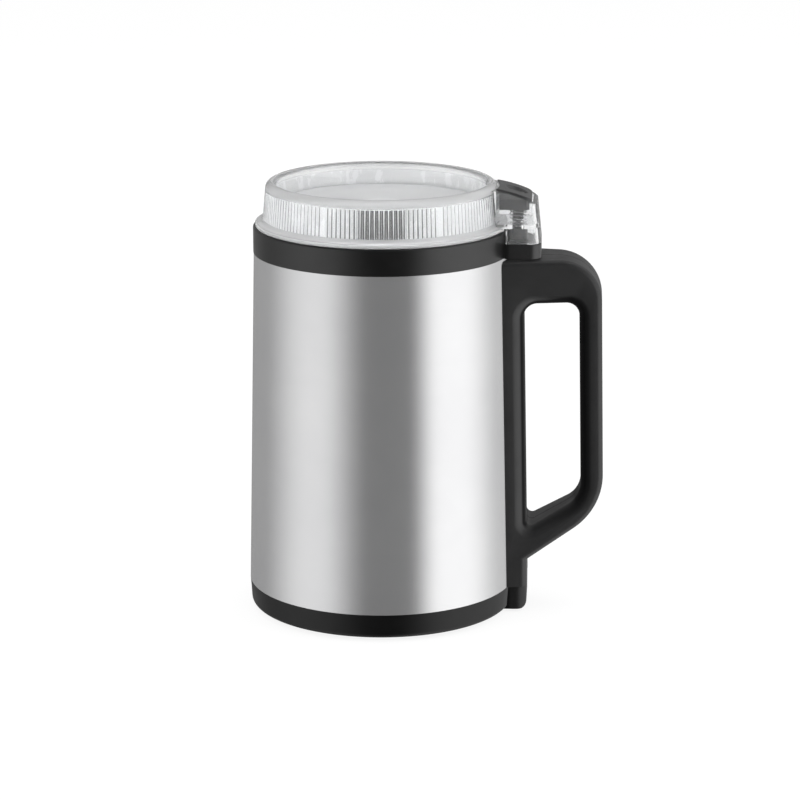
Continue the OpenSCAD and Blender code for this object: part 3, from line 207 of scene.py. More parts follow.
bowlSteel = makeBrightSteel("bowlSteel", (0.82, 0.82, 0.825), (0.88, 0.88, 0.885),
                            lines=(300, 300, 2600), metallic=0.82)
ownFinish = {"base": basePlastic, "grinding_bowl": bowlSteel}


def goOver(tree, share, color):  # blends the base colour towards another one
    base = tree.nodes["Principled BSDF"].inputs["Base Color"]
    before = base.links[0].from_socket
    blend = addNode(tree, "ShaderNodeMix", data_type="RGBA")
    blend.inputs["B"].default_value = (*color, 1.0)
    tree.links.new(share, blend.inputs["Factor"])
    tree.links.new(before, blend.inputs["A"])
    tree.links.new(blend.outputs["Result"], base)


def shiftTone(material, axis, start, end, color):  # another tone past a place along an axis
    tree = material.node_tree
    place = addNode(tree, "ShaderNodeTexCoord")
    split = addNode(tree, "ShaderNodeSeparateXYZ")
    tree.links.new(place.outputs["Object"], split.inputs["Vector"])
    goOver(tree, mapped(tree, split.outputs[axis], start, end), color)


def shadeBy(material, attribute, color, gloss, full=0.6):  # another tone and gloss by a mesh attribute
    tree = material.node_tree
    share = addNode(tree, "ShaderNodeAttribute", attribute_name=attribute).outputs["Fac"]
    goOver(tree, share, color)
    level = tree.nodes["Principled BSDF"].inputs["Specular IOR Level"]
    tree.links.new(mapped(tree, share, 0.0, full, level.default_value, gloss), level)


shiftTone(finishes["black_plastic"], "X", 0.047, 0.048, (0.021, 0.021, 0.0215))  # boss, matt as the handle
shiftTone(basePlastic, "X", 0.0485, 0.0495, (0.017, 0.017, 0.0174))  # lug under the handle, the same
shiftTone(buttonPlastic, "Z", 0.1574, 0.1566, (0.020, 0.020, 0.0205))  # skirt and stem, out of the light
shiftTone(bowlSteel, "Z", 0.126, 0.108, (0.66, 0.66, 0.665))  # painted shade: the bowl's steel darker towards its floor, deep in the bowl
shadeBy(handlePlastic, "gapShade", (0.004, 0.004, 0.0042), 0.04)  # the grip, in the finger gap's shade
slotOf = {entry["node"]: entry["material_slot"] for entry in frame["record"]["subparts"]}
for name, obj in nodes.items():
    obj.data.materials.clear()
    obj.data.materials.append(ownFinish.get(name, finishes[slotOf[name]]))
print("finishes made:", len(finishes))


# mesh helpers: outlines in millimetres, meshes in metres

def meshObject(name, verts, faces):
    mesh = bpy.data.meshes.new(name)
    mesh.from_pydata([Vector(v) * mm for v in verts], [], faces)
    mesh.update()
    work = bmesh.new()
    work.from_mesh(mesh)
    bmesh.ops.remove_doubles(work, verts=work.verts, dist=1e-7)
    bmesh.ops.recalc_face_normals(work, faces=work.faces)
    work.to_mesh(mesh)
    work.free()
    obj = bpy.data.objects.new(name, mesh)
    scene.collection.objects.link(obj)
    return obj


def bake(obj):  # turns what the modifiers give into the object's own mesh
    bpy.context.view_layer.update()
    graph = bpy.context.evaluated_depsgraph_get()
    mesh = bpy.data.meshes.new_from_object(obj.evaluated_get(graph))
    obj.modifiers.clear()
    obj.data = mesh


def combine(obj, tool, operation):
    step = obj.modifiers.new("combine", "BOOLEAN")
    step.operation = operation
    step.solver = "MANIFOLD"
    step.object = tool
    bake(obj)
    bpy.data.objects.remove(tool)
    return obj


def arc(center, radius, start, end, steps):
    angles = [math.radians(start + (end - start) * i / steps) for i in range(steps + 1)]
    return [(center[0] + radius * math.cos(a), center[1] + radius * math.sin(a)) for a in angles]


def roundOutline(center, radius, steps=48):
    return arc(center, radius, 0, 360, steps)[:-1]


def lathe(name, profile, segments):
    verts, rings = [], []
    for r, z in profile:
        if r < 1e-6:
            rings.append([len(verts)] * segments)
            verts.append((0, 0, z))
        else:
            rings.append(list(range(len(verts), len(verts) + segments)))
            verts += [(r * math.cos(2 * math.pi * k / segments), r * math.sin(2 * math.pi * k / segments), z)
                      for k in range(segments)]
    faces = []
    for i, low in enumerate(rings):
        high = rings[(i + 1) % len(rings)]
        if low[0] == low[1] and high[0] == high[1]:
            continue
        for k in range(segments):
            n = (k + 1) % segments
            corner = [low[k], low[n], high[n], high[k]]
            faces.append([v for j, v in enumerate(corner) if v != corner[j - 1]])
    return meshObject(name, verts, faces)


def stack(name, sections):  # closed solid through outlines with the same number of points
    count = len(sections[0])
    verts = [point for outline in sections for point in outline]
    faces = [list(range(count)), list(range((len(sections) - 1) * count, len(sections) * count))]
    for k in range(len(sections) - 1):
        for i in range(count):
            j = (i + 1) % count
            faces.append([k * count + i, k * count + j, (k + 1) * count + j, (k + 1) * count + i])
    return meshObject(name, verts, faces)


def tabOutline(x0, x1, halfW, r, steps=10):
    return ([(x0, -halfW)] + arc((x1 - r, r - halfW), r, -90, 0, steps)
            + arc((x1 - r, halfW - r), r, 0, 90, steps) + [(x0, halfW)])


def upright(outline, z):
    return [(x, y, z) for x, y in outline]


def finishPiece(obj, slot, body, stands, angle=32, finish=None):
    obj.data.materials.clear()
    obj.data.materials.append(finish or finishes[slot])
    for face in obj.data.polygons:
        face.use_smooth = True
    obj.data.set_sharp_from_angle(angle=math.radians(angle))
    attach(obj, body)
    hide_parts(*stands)
    print("piece:", obj.name, len(obj.data.polygons), "faces")


def newTree(name, inputs):  # a node group with named inputs
    tree = bpy.data.node_groups.new(name, "GeometryNodeTree")
    sockets = {}
    for label, kind in inputs.items():
        socket = tree.interface.new_socket(label, in_out="INPUT", socket_type="NodeSocket" + kind)
        sockets[label] = socket.identifier
    tree.interface.new_socket("Geometry", in_out="OUTPUT", socket_type="NodeSocketGeometry")
    return tree, sockets


def closeTree(tree, given, geometry):  # real meshes in the given finish
    solid = addNode(tree, "GeometryNodeRealizeInstances")
    painted = addNode(tree, "GeometryNodeSetMaterial")
    result = addNode(tree, "NodeGroupOutput")
    tree.links.new(geometry, solid.inputs["Geometry"])
    tree.links.new(solid.outputs["Geometry"], painted.inputs["Geometry"])
    tree.links.new(given.outputs["Finish"], painted.inputs["Material"])
    tree.links.new(painted.outputs["Geometry"], result.inputs["Geometry"])


def grow(name, tree, sockets, values):  # the mesh that a node group makes
    holder = meshObject(name, [(0, 0, 0)], [])
    step = holder.modifiers.new("grow", "NODES")
    step.node_group = tree
    for label, value in values.items():
        step[sockets[label]] = value
    bake(holder)
    return holder


# clear lid: revolved cap, ribs inside its wall, lug for the push button

lid = {
    "z0": 146.0, "z1": 162.4, "flangeR": 46.65, "flangeT": 1.3, "footR": 43.7, "footFillet": 2.3,
    "topR": 42.8, "wall": 1.6, "shoulderR": 2.6, "rimR": 39.6, "cupR": 38.7, "cupFillet": 1.5,
    "floorZ": 154.2, "floorT": 1.8, "centreR": 8.5, "centreH": 0.8, "spigotR": 40.5, "spigotZ": 141.75,
    "grooveZ": 159.2, "edge": 0.3, "segments": 288, "below": 130, "above": 170,
    "centreDish": ((1.0, 0.0), (0.9, 0.35), (0.72, 0.75), (0.4, 0.95), (0.0, 1.0)),
}
ribs = {"count": 156, "perPanel": 26, "turn": -116.1, "z0": 146.25, "z1": 158.9, "root": 0.35,
        "lowDepth": 0.78, "highDepth": 0.58, "tip": 0.03}
lug = {"rootX": 30, "x1": 59.2, "halfW": 11.7, "r": 4.5, "z0": 141.3, "lean": math.tan(math.radians(6)),
       "webZ": 146.75, "webT": 1.6, "crownX": 34.8, "crownZ": 112.05, "crownR": 49.2, "ringR": 47.75,
       "axisX": 50.6, "stemR": 2.15, "holeZ": (140, 150), "outerY": 20, "sideY": 12.5, "clear": 0.6}


def lidProfile():
    edge, wall, z0, z1 = lid["edge"], lid["wall"], lid["z0"], lid["z1"]
    foot, shoulder, cup = lid["footFillet"], lid["shoulderR"], lid["cupFillet"]
    floor, centre, sunk = lid["floorZ"], lid["centreR"], lid["centreH"]
    top = z0 + lid["flangeT"]
    under = floor - lid["floorT"]
    inner = lid["spigotR"] - wall
    profile = [(lid["footR"] - wall, z0)]
    profile += arc((lid["flangeR"] - edge, z0 + edge), edge, -90, 0, 4)
    profile += arc((lid["flangeR"] - edge, top - edge), edge, 0, 90, 4)
    profile += arc((lid["footR"] + foot, top + foot), foot, 270, 180, 10)
    profile += arc((lid["topR"] - shoulder, z1 - shoulder), shoulder, 0, 90, 12)
    profile += arc((lid["rimR"] + edge, z1 - edge), edge, 90, 175, 4)
    profile += arc((lid["cupR"] - cup, floor + cup), cup, 0, -90, 8)
    profile += [(centre * reach, floor - sunk * depth) for reach, depth in lid["centreDish"]]
    profile += [(0, under - sunk), (centre, under - sunk), (centre + 1, under), (inner, under),
                (inner, lid["spigotZ"]), (lid["spigotR"], lid["spigotZ"]), (lid["spigotR"], lid["grooveZ"]),
                (lid["topR"] - wall, lid["grooveZ"])]
    return profile


def ribShape():  # one rib, its root at x = 0 on the lower edge of the wall
    slope = (lid["footR"] - lid["topR"]) / (lid["grooveZ"] - lid["z0"])
    root, tip, sections = ribs["root"], ribs["tip"], []
    for share in (0.0, 0.5, 1.0):
        z = ribs["z0"] + (ribs["z1"] - ribs["z0"]) * share
        x = -slope * (z - lid["z0"])
        depth = ribs["lowDepth"] + (ribs["highDepth"] - ribs["lowDepth"]) * share
        sections.append([(x + root, -depth - tip, z), (x, -depth - tip, z), (x - depth, -tip, z),
                         (x - depth, tip, z), (x, depth + tip, z), (x + root, depth + tip, z)])
    return stack("ribShape", sections)


def ribTree():
    tree, sockets = newTree("lidRibs", {"Rib Count": "Int", "Ribs Per Panel": "Int", "Wall Radius": "Float",
                                        "Turn": "Float", "Rib": "Object", "Finish": "Material"})
    given = addNode(tree, "NodeGroupInput")
    circle = addNode(tree, "GeometryNodeMeshCircle")
    spin = addNode(tree, "GeometryNodeTransform")
    spinAxis = addNode(tree, "ShaderNodeCombineXYZ")
    number = addNode(tree, "GeometryNodeInputIndex")
    within = addNode(tree, "FunctionNodeIntegerMath", operation="MODULO")
    first = addNode(tree, "FunctionNodeCompare", data_type="INT", operation="EQUAL")
    thin = addNode(tree, "GeometryNodeDeleteGeometry", domain="POINT")
    place = addNode(tree, "GeometryNodeInputPosition")
    split = addNode(tree, "ShaderNodeSeparateXYZ")
    bearing = addNode(tree, "ShaderNodeMath", operation="ARCTAN2")
    facing = addNode(tree, "ShaderNodeCombineXYZ")
    facingTurn = addNode(tree, "FunctionNodeEulerToRotation")
    source = addNode(tree, "GeometryNodeObjectInfo")
    copies = addNode(tree, "GeometryNodeInstanceOnPoints")
    link = tree.links.new
    link(given.outputs["Rib Count"], circle.inputs["Vertices"])
    link(given.outputs["Wall Radius"], circle.inputs["Radius"])
    link(given.outputs["Turn"], spinAxis.inputs["Z"])
    link(circle.outputs["Mesh"], spin.inputs["Geometry"])
    link(spinAxis.outputs["Vector"], spin.inputs["Rotation"])
    link(number.outputs["Index"], within.inputs[0])
    link(given.outputs["Ribs Per Panel"], within.inputs[1])
    link(within.outputs["Value"], first.inputs["A"])
    link(spin.outputs["Geometry"], thin.inputs["Geometry"])
    link(first.outputs["Result"], thin.inputs["Selection"])
    link(place.outputs["Position"], split.inputs["Vector"])
    link(split.outputs["Y"], bearing.inputs[0])
    link(split.outputs["X"], bearing.inputs[1])
    link(bearing.outputs["Value"], facing.inputs["Z"])
    link(facing.outputs["Vector"], facingTurn.inputs["Euler"])
    link(given.outputs["Rib"], source.inputs["Object"])
    link(thin.outputs["Geometry"], copies.inputs["Points"])
    link(source.outputs["Geometry"], copies.inputs["Instance"])
    link(facingTurn.outputs["Rotation"], copies.inputs["Rotation"])
    closeTree(tree, given, copies.outputs["Instances"])
    return tree, sockets


def lidRibs():
    shape = ribShape()
    tree, sockets = ribTree()
    wallR = (lid["footR"] - lid["wall"]) * mm
    grown = grow("lidRibs", tree, sockets, {
        "Rib Count": ribs["count"], "Ribs Per Panel": ribs["perPanel"], "Wall Radius": wallR,
        "Turn": math.radians(ribs["turn"]), "Rib": shape, "Finish": finishes["clear_plastic"]})
    bpy.data.objects.remove(shape)
    return grown


def leaningTab(name, inset, z0, z1):  # the lug's outline, set in by its wall and leaning inwards
    sections = []
    for z in (z0, z1):
        x1 = lug["x1"] - inset - (z - lug["z0"]) * lug["lean"]
        sections.append(upright(tabOutline(lug["rootX"], x1, lug["halfW"] - inset, lug["r"] - inset), z))
    return stack(name, sections)


def cylinder(name, x, r, z0, z1, segments=192):
    obj = lathe(name, [(0, z0), (r, z0), (r, z1), (0, z1)], segments)
    obj.data.transform(Matrix.Translation((x * mm, 0, 0)))
    return obj


def crownBlock(radius):  # what lies under a crown struck round an axis along Y
    outline = roundOutline((lug["crownX"], lug["crownZ"]), radius, 360)
    return stack("crown", [[(x, y, z) for x, z in outline] for y in (-lug["outerY"], lug["outerY"])])


def lidLug():
    wall, below, above = lid["wall"], lid["below"], lid["above"]
    box = leaningTab("lug", 0, lug["z0"], lid["z1"])
    combine(box, crownBlock(lug["crownR"]), "INTERSECT")
    combine(box, cylinder("lidSpace", 0, lid["topR"] - wall / 2, below, above), "DIFFERENCE")
    combine(box, cylinder("ringSpace", 0, lug["ringR"], below, lid["z0"]), "DIFFERENCE")
    upper = leaningTab("upper", wall, lug["webZ"] + lug["webT"], lid["z1"] + 5 * past)
    combine(upper, cylinder("lidWall", 0, lid["footR"], below, above, lid["segments"]), "DIFFERENCE")
    combine(box, upper, "DIFFERENCE")
    combine(box, leaningTab("lower", wall, lug["z0"] - 2 * past, lug["webZ"]), "DIFFERENCE")
    combine(box, cylinder("stemHole", lug["axisX"], lug["stemR"], *lug["holeZ"], 64), "DIFFERENCE")
    return box


def lidZone(face, near=0.1, flat=0.5):  # which finish a face of the lid gets
    reach, z, level = face.center.xy.length / mm, face.center.z / mm, abs(face.normal.z)
    if face.center.x > 0 and reach > lid["footR"] + lug["clear"] and abs(face.center.y) / mm < lug["sideY"]:
        return "lug"
    if reach < lid["cupR"] - lid["cupFillet"] and level > flat:
        return "floor"
    if abs(reach - lid["spigotR"]) < near and level < near:
        return "spigot"
    if reach > lid["footR"] + near:
        return "rim"
    if z > lid["z1"] - lid["shoulderR"] and reach > lid["rimR"] - near:
        return "rim"
    if z > lid["floorZ"] and reach < lid["rimR"] + near:
        return "cup"
    return "wall"


clearLid = lathe("clearLid", lidProfile(), lid["segments"])
combine(clearLid, lidRibs(), "UNION")
combine(clearLid, lidLug(), "UNION")
finishPiece(clearLid, "clear_plastic", "lid", ["lid"], 28)
zones = {"lug": lugPlastic, "floor": frostedPlastic, "spigot": mattPlastic, "rim": rimPlastic,
         "cup": cupPlastic}
for finish in zones.values():
    clearLid.data.materials.append(finish)
order = ["wall", *zones]
for face in clearLid.data.polygons:
    face.material_index = order.index(lidZone(face))


# two-part handle, lofted from outlines in X and Z

handle = {
    "halfW": 15.1, "lean": 10.3, "z0": 10.6, "z1": 135.2, "inX": 39.3, "baseR": 50.0, "topR": 47.3,
    "sleeveZ0": 10.4, "sleeveH": 125.8, "stripT": 5.3, "gap": 20.5, "grip": 8.4, "armH": 16.6, "upperR": 16.0,
    "lowerR": 24.0, "slope": 33.5, "innerSlope": 30.6, "footZ": 20.8, "footH": 11.2, "gapEdge": 5.0,
    "outerEdge": 2.0, "wall": 2.0, "gapUpperR": 5.0, "gapLowerR": 10.0, "gapFootR": 2.0, "fit": 0.15,
    "seam": 0.16, "cornerSteps": 22, "edgeSteps": 12, "bodySteps": 288, "seatW": 8.6, "seatLean": 6.0,
    "headR": 3.0, "postR": 3.4, "rodR": 2.1, "rodZ": (132, 137), "axisX": 50.6, "outerX": 90, "outerY": 20,
    "cornerShare": 0.55, "lowerInset": 6.6, "footReach": 6.0, "footInset": 4.8, "bodyZ": (-1, 160),
    "gapLift": 0.05,
}


def bodyR(z):
    return handle["baseR"] + (handle["topR"] - handle["baseR"]) * (z - handle["sleeveZ0"]) / handle["sleeveH"]


taper = math.degrees(math.atan((handle["baseR"] - handle["topR"]) / handle["sleeveH"]))
upLine = (0.0, 1.0)
sideLine = (math.cos(math.radians(taper)), math.sin(math.radians(taper)))
underLine = (math.sin(math.radians(handle["slope"])), -math.cos(math.radians(handle["slope"])))
overLine = (math.sin(math.radians(handle["innerSlope"])), -math.cos(math.radians(handle["innerSlope"])))


def meet(n1, k1, n2, k2):
    det = n1[0] * n2[1] - n1[1] * n2[0]
    return ((k1 * n2[1] - n1[1] * k2) / det, (n1[0] * k2 - k1 * n2[0]) / det)


def along(n, point):
    return n[0] * point[0] + n[1] * point[1]


stripK = sideLine[0] * (bodyR(0) + handle["stripT"])
gapK = stripK + handle["gap"]
gripK = gapK + handle["grip"]
gapTop = handle["z1"] - handle["armH"]
underK = along(underLine, meet(sideLine, stripK, upLine, handle["footZ"]))
overK = along(overLine, meet(sideLine, stripK, upLine, handle["footZ"] + handle["footH"]))


def handleOutline(d):
    steps, lower, upper = handle["cornerSteps"], handle["lowerR"], handle["upperR"]
    low = meet(sideLine, gripK - lower, underLine, underK - lower)
    high = meet(sideLine, gripK - upper, upLine, handle["z1"] - upper)
    return ([(handle["inX"], handle["z0"]), meet(sideLine, stripK - d, upLine, handle["z0"]),
             meet(sideLine, stripK - d, underLine, underK - d)]
            + arc(low, lower - d, handle["slope"] - 90, taper, steps) + arc(high, upper - d, taper, 90, steps)
            + [(handle["inX"], handle["z1"] - d)])


def gapOutline(e):
    steps = handle["cornerSteps"]
    lower, upper, foot = handle["gapLowerR"], handle["gapUpperR"], handle["gapFootR"]
    lowGrip = meet(sideLine, gapK - lower, overLine, overK - lower)
    highGrip = meet(sideLine, gapK - upper, upLine, gapTop - upper)
    highStrip = meet(sideLine, stripK + upper, upLine, gapTop - upper)
    lowStrip = meet(sideLine, stripK + foot, overLine, overK - foot)
    return (arc(lowGrip, lower + e, handle["innerSlope"] - 90, taper, steps)
            + arc(highGrip, upper + e, taper, 90, steps) + arc(highStrip, upper + e, 90, 180 + taper, steps)
            + arc(lowStrip, foot + e, 180 + taper, 270 + handle["innerSlope"], steps))


def sideShift(x):
    return (x - handle["topR"]) * math.tan(math.radians(handle["lean"]))


def sideways(outline, y, leans=True):  # an outline at y, leaning in as the handle's side does
    return [(x, y - sideShift(x) if leans else y, z) for x, z in outline]


def rounded(outlineOf, edge, y1):
    sections = []
    for i in range(handle["edgeSteps"] + 1):
        a = math.radians(90 * i / handle["edgeSteps"])
        sections.append(sideways(outlineOf(edge * (1 - math.cos(a))), y1 - edge * (1 - math.sin(a))))
    return sections


def bar(name, outline, y0, y1):  # straight through in Y
    return stack(name, [sideways(outline, y0, False), sideways(outline, y1, False)])


corner = handle["upperR"] * handle["cornerShare"]
joints = [meet(sideLine, gripK - corner, upLine, handle["z1"] - corner),
          meet(sideLine, gripK - handle["lowerInset"], underLine, underK - handle["lowerInset"]),
          meet(sideLine, stripK + handle["footReach"], underLine, underK - handle["footInset"])]


def handleHalf(name):
    seam, top, fit, outerX, outerY = (handle[key] for key in ("seam", "halfW", "fit", "outerX", "outerY"))
    innerY = -2 * past
    sections = [sideways(handleOutline(seam), 0, False), sideways(handleOutline(0), seam, False)]
    half = stack(name, sections + rounded(handleOutline, handle["outerEdge"], top))
    hole = [sideways(gapOutline(seam), -past, False), sideways(gapOutline(seam), 0, False),
            sideways(gapOutline(0), seam, False)]
    hole += rounded(gapOutline, handle["gapEdge"], top + handle["gapLift"])
    hole.append(sideways(gapOutline(handle["gapEdge"]), top + past))
    combine(half, stack("gap", hole), "DIFFERENCE")
    low, high = handle["bodyZ"]
    body = [(0, low), (bodyR(low) + fit, low), (bodyR(high) + fit, high), (0, high)]
    combine(half, lathe("bodySpace", body, handle["bodySteps"]), "DIFFERENCE")
    inside = handleOutline(handle["wall"])
    hollow = stack("hollow", [sideways(inside, -past, False), sideways(inside, top - handle["gapEdge"])])
    combine(hollow, bar("around", gapOutline(handle["wall"]), innerY, outerY), "DIFFERENCE")
    floor = [(0, innerY), (outerX, innerY), (outerX, outerY), (0, outerY)]
    foot = stack("foot", [upright(floor, 0), upright(floor, handle["z0"] + handle["wall"])])
    combine(hollow, foot, "DIFFERENCE")
    for joint in joints:
        post = bar("post", roundOutline(joint, handle["postR"]), innerY, outerY)
        combine(hollow, post, "DIFFERENCE")
    combine(half, hollow, "DIFFERENCE")
    rodHole = cylinder("rodHole", handle["axisX"], handle["rodR"], *handle["rodZ"], 48)
    return combine(half, rodHole, "DIFFERENCE")


frontHalf = handleHalf("handleFront")
for vertex in frontHalf.data.vertices:
    vertex.co.y = -vertex.co.y
frontHalf.data.flip_normals()
rearHalf = handleHalf("handleRear")
for joint in joints:
    depth = handle["seatW"] - (joint[0] - handle["topR"]) * math.tan(math.radians(handle["seatLean"]))
    well = bar("well", roundOutline(joint, handle["headR"]), depth, handle["outerY"])
    combine(rearHalf, well, "DIFFERENCE")


# darker tone round the finger gap, stored on the handle's mesh

shade = {"stripReach": 1.7, "gripReach": 5.0, "facingUp": 0.75, "midZ": 80.0}


def gapDistance(places):  # how far each place in X and Z lies from the edge of the finger gap
    start = numpy.array(gapOutline(0))
    run = numpy.roll(start, -1, axis=0) - start
    offset = places[:, None, :] - start[None]
    share = numpy.clip((offset * run).sum(-1) / (run * run).sum(-1), 0.0, 1.0)
    return numpy.sqrt(((offset - share[..., None] * run) ** 2).sum(-1)).min(axis=1)


def shadeHandle(half):  # 1 at the edge of the gap, 0 past its reach
    low = meet(sideLine, stripK, upLine, shade["midZ"])[0]
    high = meet(sideLine, gapK, upLine, shade["midZ"])[0]
    places = numpy.array([(v.co.x / mm, v.co.z / mm) for v in half.data.vertices])
    across = numpy.clip((places[:, 0] - low) / (high - low), 0.0, 1.0)
    reach = shade["stripReach"] + (shade["gripReach"] - shade["stripReach"]) * across
    depth = numpy.clip(1.0 - (gapDistance(places) / reach) ** 2, 0.0, 1.0)
    up = numpy.array([max(v.normal.z, 0.0) for v in half.data.vertices])
    depth *= 1.0 - shade["facingUp"] * up
    layer = half.data.attributes.new("gapShade", "FLOAT", "POINT")
    layer.data.foreach_set("value", depth * depth * (3 - 2 * depth))


for half, node in ((frontHalf, "handle_front"), (rearHalf, "handle_rear")):
    finishPiece(half, "black_plastic", "housing", [node], 30, handlePlastic)
    shadeHandle(half)
unmirrored = ("base", "handle_joint_screws", "handle_body_screws", "microswitch", "switch_terminals",
              "switch_rod", "switch_lever", "switch_plunger")
for obj in (frontHalf, rearHalf, *(nodes[name] for name in unmirrored)):
    obj.visible_glossy = False  # the photograph's steel doesn't mirror the handle


# push button: crowned plate with a dish for the finger, skirt, stem and pin

button = {
    "x0": 43.5, "x1": 55.6, "halfW": 9.7, "corner": 2.5, "crownR": 50.0, "plate": 1.6, "edge": 0.35,
    "edgeSteps": 5, "rings": 26, "points": 120, "middle": 0.03, "dishX": 49.85, "dishR": 4.3, "dishWall": 1.1,
    "dishH": 1.15, "skirtW": 6.0, "skirtX0": 44.1, "skirtX1": 55.0, "skirtR": 2.0, "skirtWall": 0.8,
    "skirtZ": 153.0, "skirtTop": 165, "stemR": 2.1, "stemZ": 146.95, "stemTop": 158.3, "pinR": 0.95,
    "pinZ": 144.4,
}


def crownZ(x, radius):
    return lug["crownZ"] + math.sqrt(radius ** 2 - (x - lug["crownX"]) ** 2)


def evenly(outline, count):  # the same closed outline with points at even steps
    ends = outline[1:] + outline[:1]
    steps = [math.dist(start, end) for start, end in zip(outline, ends)]
    spacing, passed, points = sum(steps) / count, 0.0, []
    for start, end, length in zip(outline, ends, steps):
        while len(points) < count and len(points) * spacing < passed + length - 1e-9:
            share = (len(points) * spacing - passed) / length
            points.append((start[0] + (end[0] - start[0]) * share, start[1] + (end[1] - start[1]) * share))
        passed += length
    return points


def plateOutline(d):
    x0, half, corner = button["x0"] + d, button["halfW"] - d, button["corner"]
    x1, y1 = button["x1"] - corner, button["halfW"] - corner
    spread = math.degrees(math.asin(half / x0))
    return evenly(arc((x1, -y1), corner - d, -90, 0, 10) + arc((x1, y1), corner - d, 0, 90, 10)
                  + arc((0, 0), x0, spread, -spread, 24), button["points"])


def dishDepth(x, y):
    share = (button["dishR"] - math.hypot(x - button["dishX"], y)) / button["dishWall"]
    share = min(max(share, 0.0), 1.0)
    return button["dishH"] * share * share * (3 - 2 * share)


def plateRing(d, size, drop, dished):
    ring = []
    for x, y in plateOutline(d):
        x, y = button["dishX"] + size * (x - button["dishX"]), size * y
        ring.append((x, y, crownZ(x, button["crownR"] - drop) - (dishDepth(x, y) if dished else 0)))
    return ring


def buttonPlate():
    edge, rings, middle, thick = (button[key] for key in ("edge", "rings", "middle", "plate"))
    grown = 1 - middle
    sections = [plateRing(0, middle + grown * i / rings, thick, False) for i in range(rings + 1)]
    for i in range(button["edgeSteps"] + 1):
        a = math.radians(90 * i / button["edgeSteps"])
        sections.append(plateRing(edge * (1 - math.cos(a)), 1.0, edge * (1 - math.sin(a)), False))
    sections += [plateRing(edge, 1 - grown * i / rings, 0, True) for i in range(1, rings + 1)]
    return stack("pushButton", sections)


def buttonSkirt():
    blocks = []
    for d in (0, button["skirtWall"]):
        flat = tabOutline(lug["rootX"], button["skirtX1"] - d, button["skirtW"] - d, button["skirtR"] - d)
        block = stack("skirt", [upright(flat, button["skirtZ"] - d), upright(flat, button["skirtTop"])])
        space = cylinder("lidWall", 0, button["skirtX0"] + d, lid["below"], lid["above"])
        blocks.append(combine(block, space, "DIFFERENCE"))
    combine(blocks[0], blocks[1], "DIFFERENCE")
    return combine(blocks[0], crownBlock(button["crownR"] - button["plate"] / 2), "INTERSECT")


pushButton = buttonPlate()
combine(pushButton, buttonSkirt(), "UNION")
rounds = (("stem", button["stemR"], button["stemZ"], button["stemTop"], 64),
          ("pin", button["pinR"], button["pinZ"], button["stemZ"] + past, 48))
for name, radius, low, high, segments in rounds:
    combine(pushButton, cylinder(name, lug["axisX"], radius, low, high, segments), "UNION")
finishPiece(pushButton, slotOf["push_button"], "button", ["push_button"], 30, buttonPlastic)


# return spring under the button, one wound wire

spring = {"axisX": 50.6, "z0": 148.45, "radius": 3.15, "wire": 0.45, "turns": 5.0, "travel": 2.0}
spring["length"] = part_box("button_spring")[1].z / mm - spring["z0"]


def springTree():
    tree, sockets = newTree("woundWire", {"Turns": "Float", "Radius": "Float", "Height": "Float",
                                          "Wire Radius": "Float", "Finish": "Material"})
    given = addNode(tree, "NodeGroupInput")
    path = addNode(tree, "GeometryNodeCurveSpiral", Resolution=40)
    ring = addNode(tree, "GeometryNodeCurvePrimitiveCircle", Resolution=12)
    wire = addNode(tree, "GeometryNodeCurveToMesh")
    wire.inputs["Fill Caps"].default_value = True
    link = tree.links.new
    link(given.outputs["Turns"], path.inputs["Rotations"])
    link(given.outputs["Radius"], path.inputs["Start Radius"])
    link(given.outputs["Radius"], path.inputs["End Radius"])
    link(given.outputs["Height"], path.inputs["Height"])
    link(given.outputs["Wire Radius"], ring.inputs["Radius"])
    link(path.outputs["Curve"], wire.inputs["Curve"])
    link(ring.outputs["Curve"], wire.inputs["Profile Curve"])
    closeTree(tree, given, wire.outputs["Mesh"])
    return tree, sockets


def wound(name, turns, radius, length, wire):  # a coil standing on z = 0 at the origin
    tree, sockets = springTree()
    coil = grow(name, tree, sockets, {
        "Turns": turns, "Radius": radius * mm, "Height": (length - wire) * mm, "Wire Radius": wire / 2 * mm,
        "Finish": finishes["bright_steel"]})
    coil.data.transform(Matrix.Translation((0, 0, wire / 2 * mm)))
    return coil


returnSpring = wound("returnSpring", spring["turns"], spring["radius"], spring["length"], spring["wire"])
returnSpring.data.transform(Matrix.Translation((spring["axisX"] * mm, 0, spring["z0"] * mm)))
finishPiece(returnSpring, "bright_steel", "lid", ["button_spring"], 60)
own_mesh(returnSpring)


# springs behind the carbon brushes, one on each side of the commutator

brush = {"turns": 5.0, "radius": 1.5, "wire": 0.5}
brushReach = [v.co.x / mm for v in nodes["brush_springs"].data.vertices if v.co.x > 0]
brushStart, brushLength = min(brushReach), max(brushReach) - min(brushReach)
brushLow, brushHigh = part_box("brush_springs")
brushSprings = None
for bearing in (0, 180):
    coil = wound("brushSprings", brush["turns"], brush["radius"], brushLength, brush["wire"])
    turned = Matrix.Translation((brushStart * mm, 0, 0)) @ Matrix.Rotation(math.radians(90), 4, "Y")
    coil.data.transform(Matrix.Rotation(math.radians(bearing), 4, "Z") @ turned)
    coil.data.transform(Matrix.Translation((0, 0, (brushLow.z + brushHigh.z) / 2)))
    brushSprings = combine(brushSprings, coil, "UNION") if brushSprings else coil
finishPiece(brushSprings, slotOf["brush_springs"], "housing", ["brush_springs"], 60)


# stage: pale floor, banded studio surround, soft lamps, camera at the photograph's angle

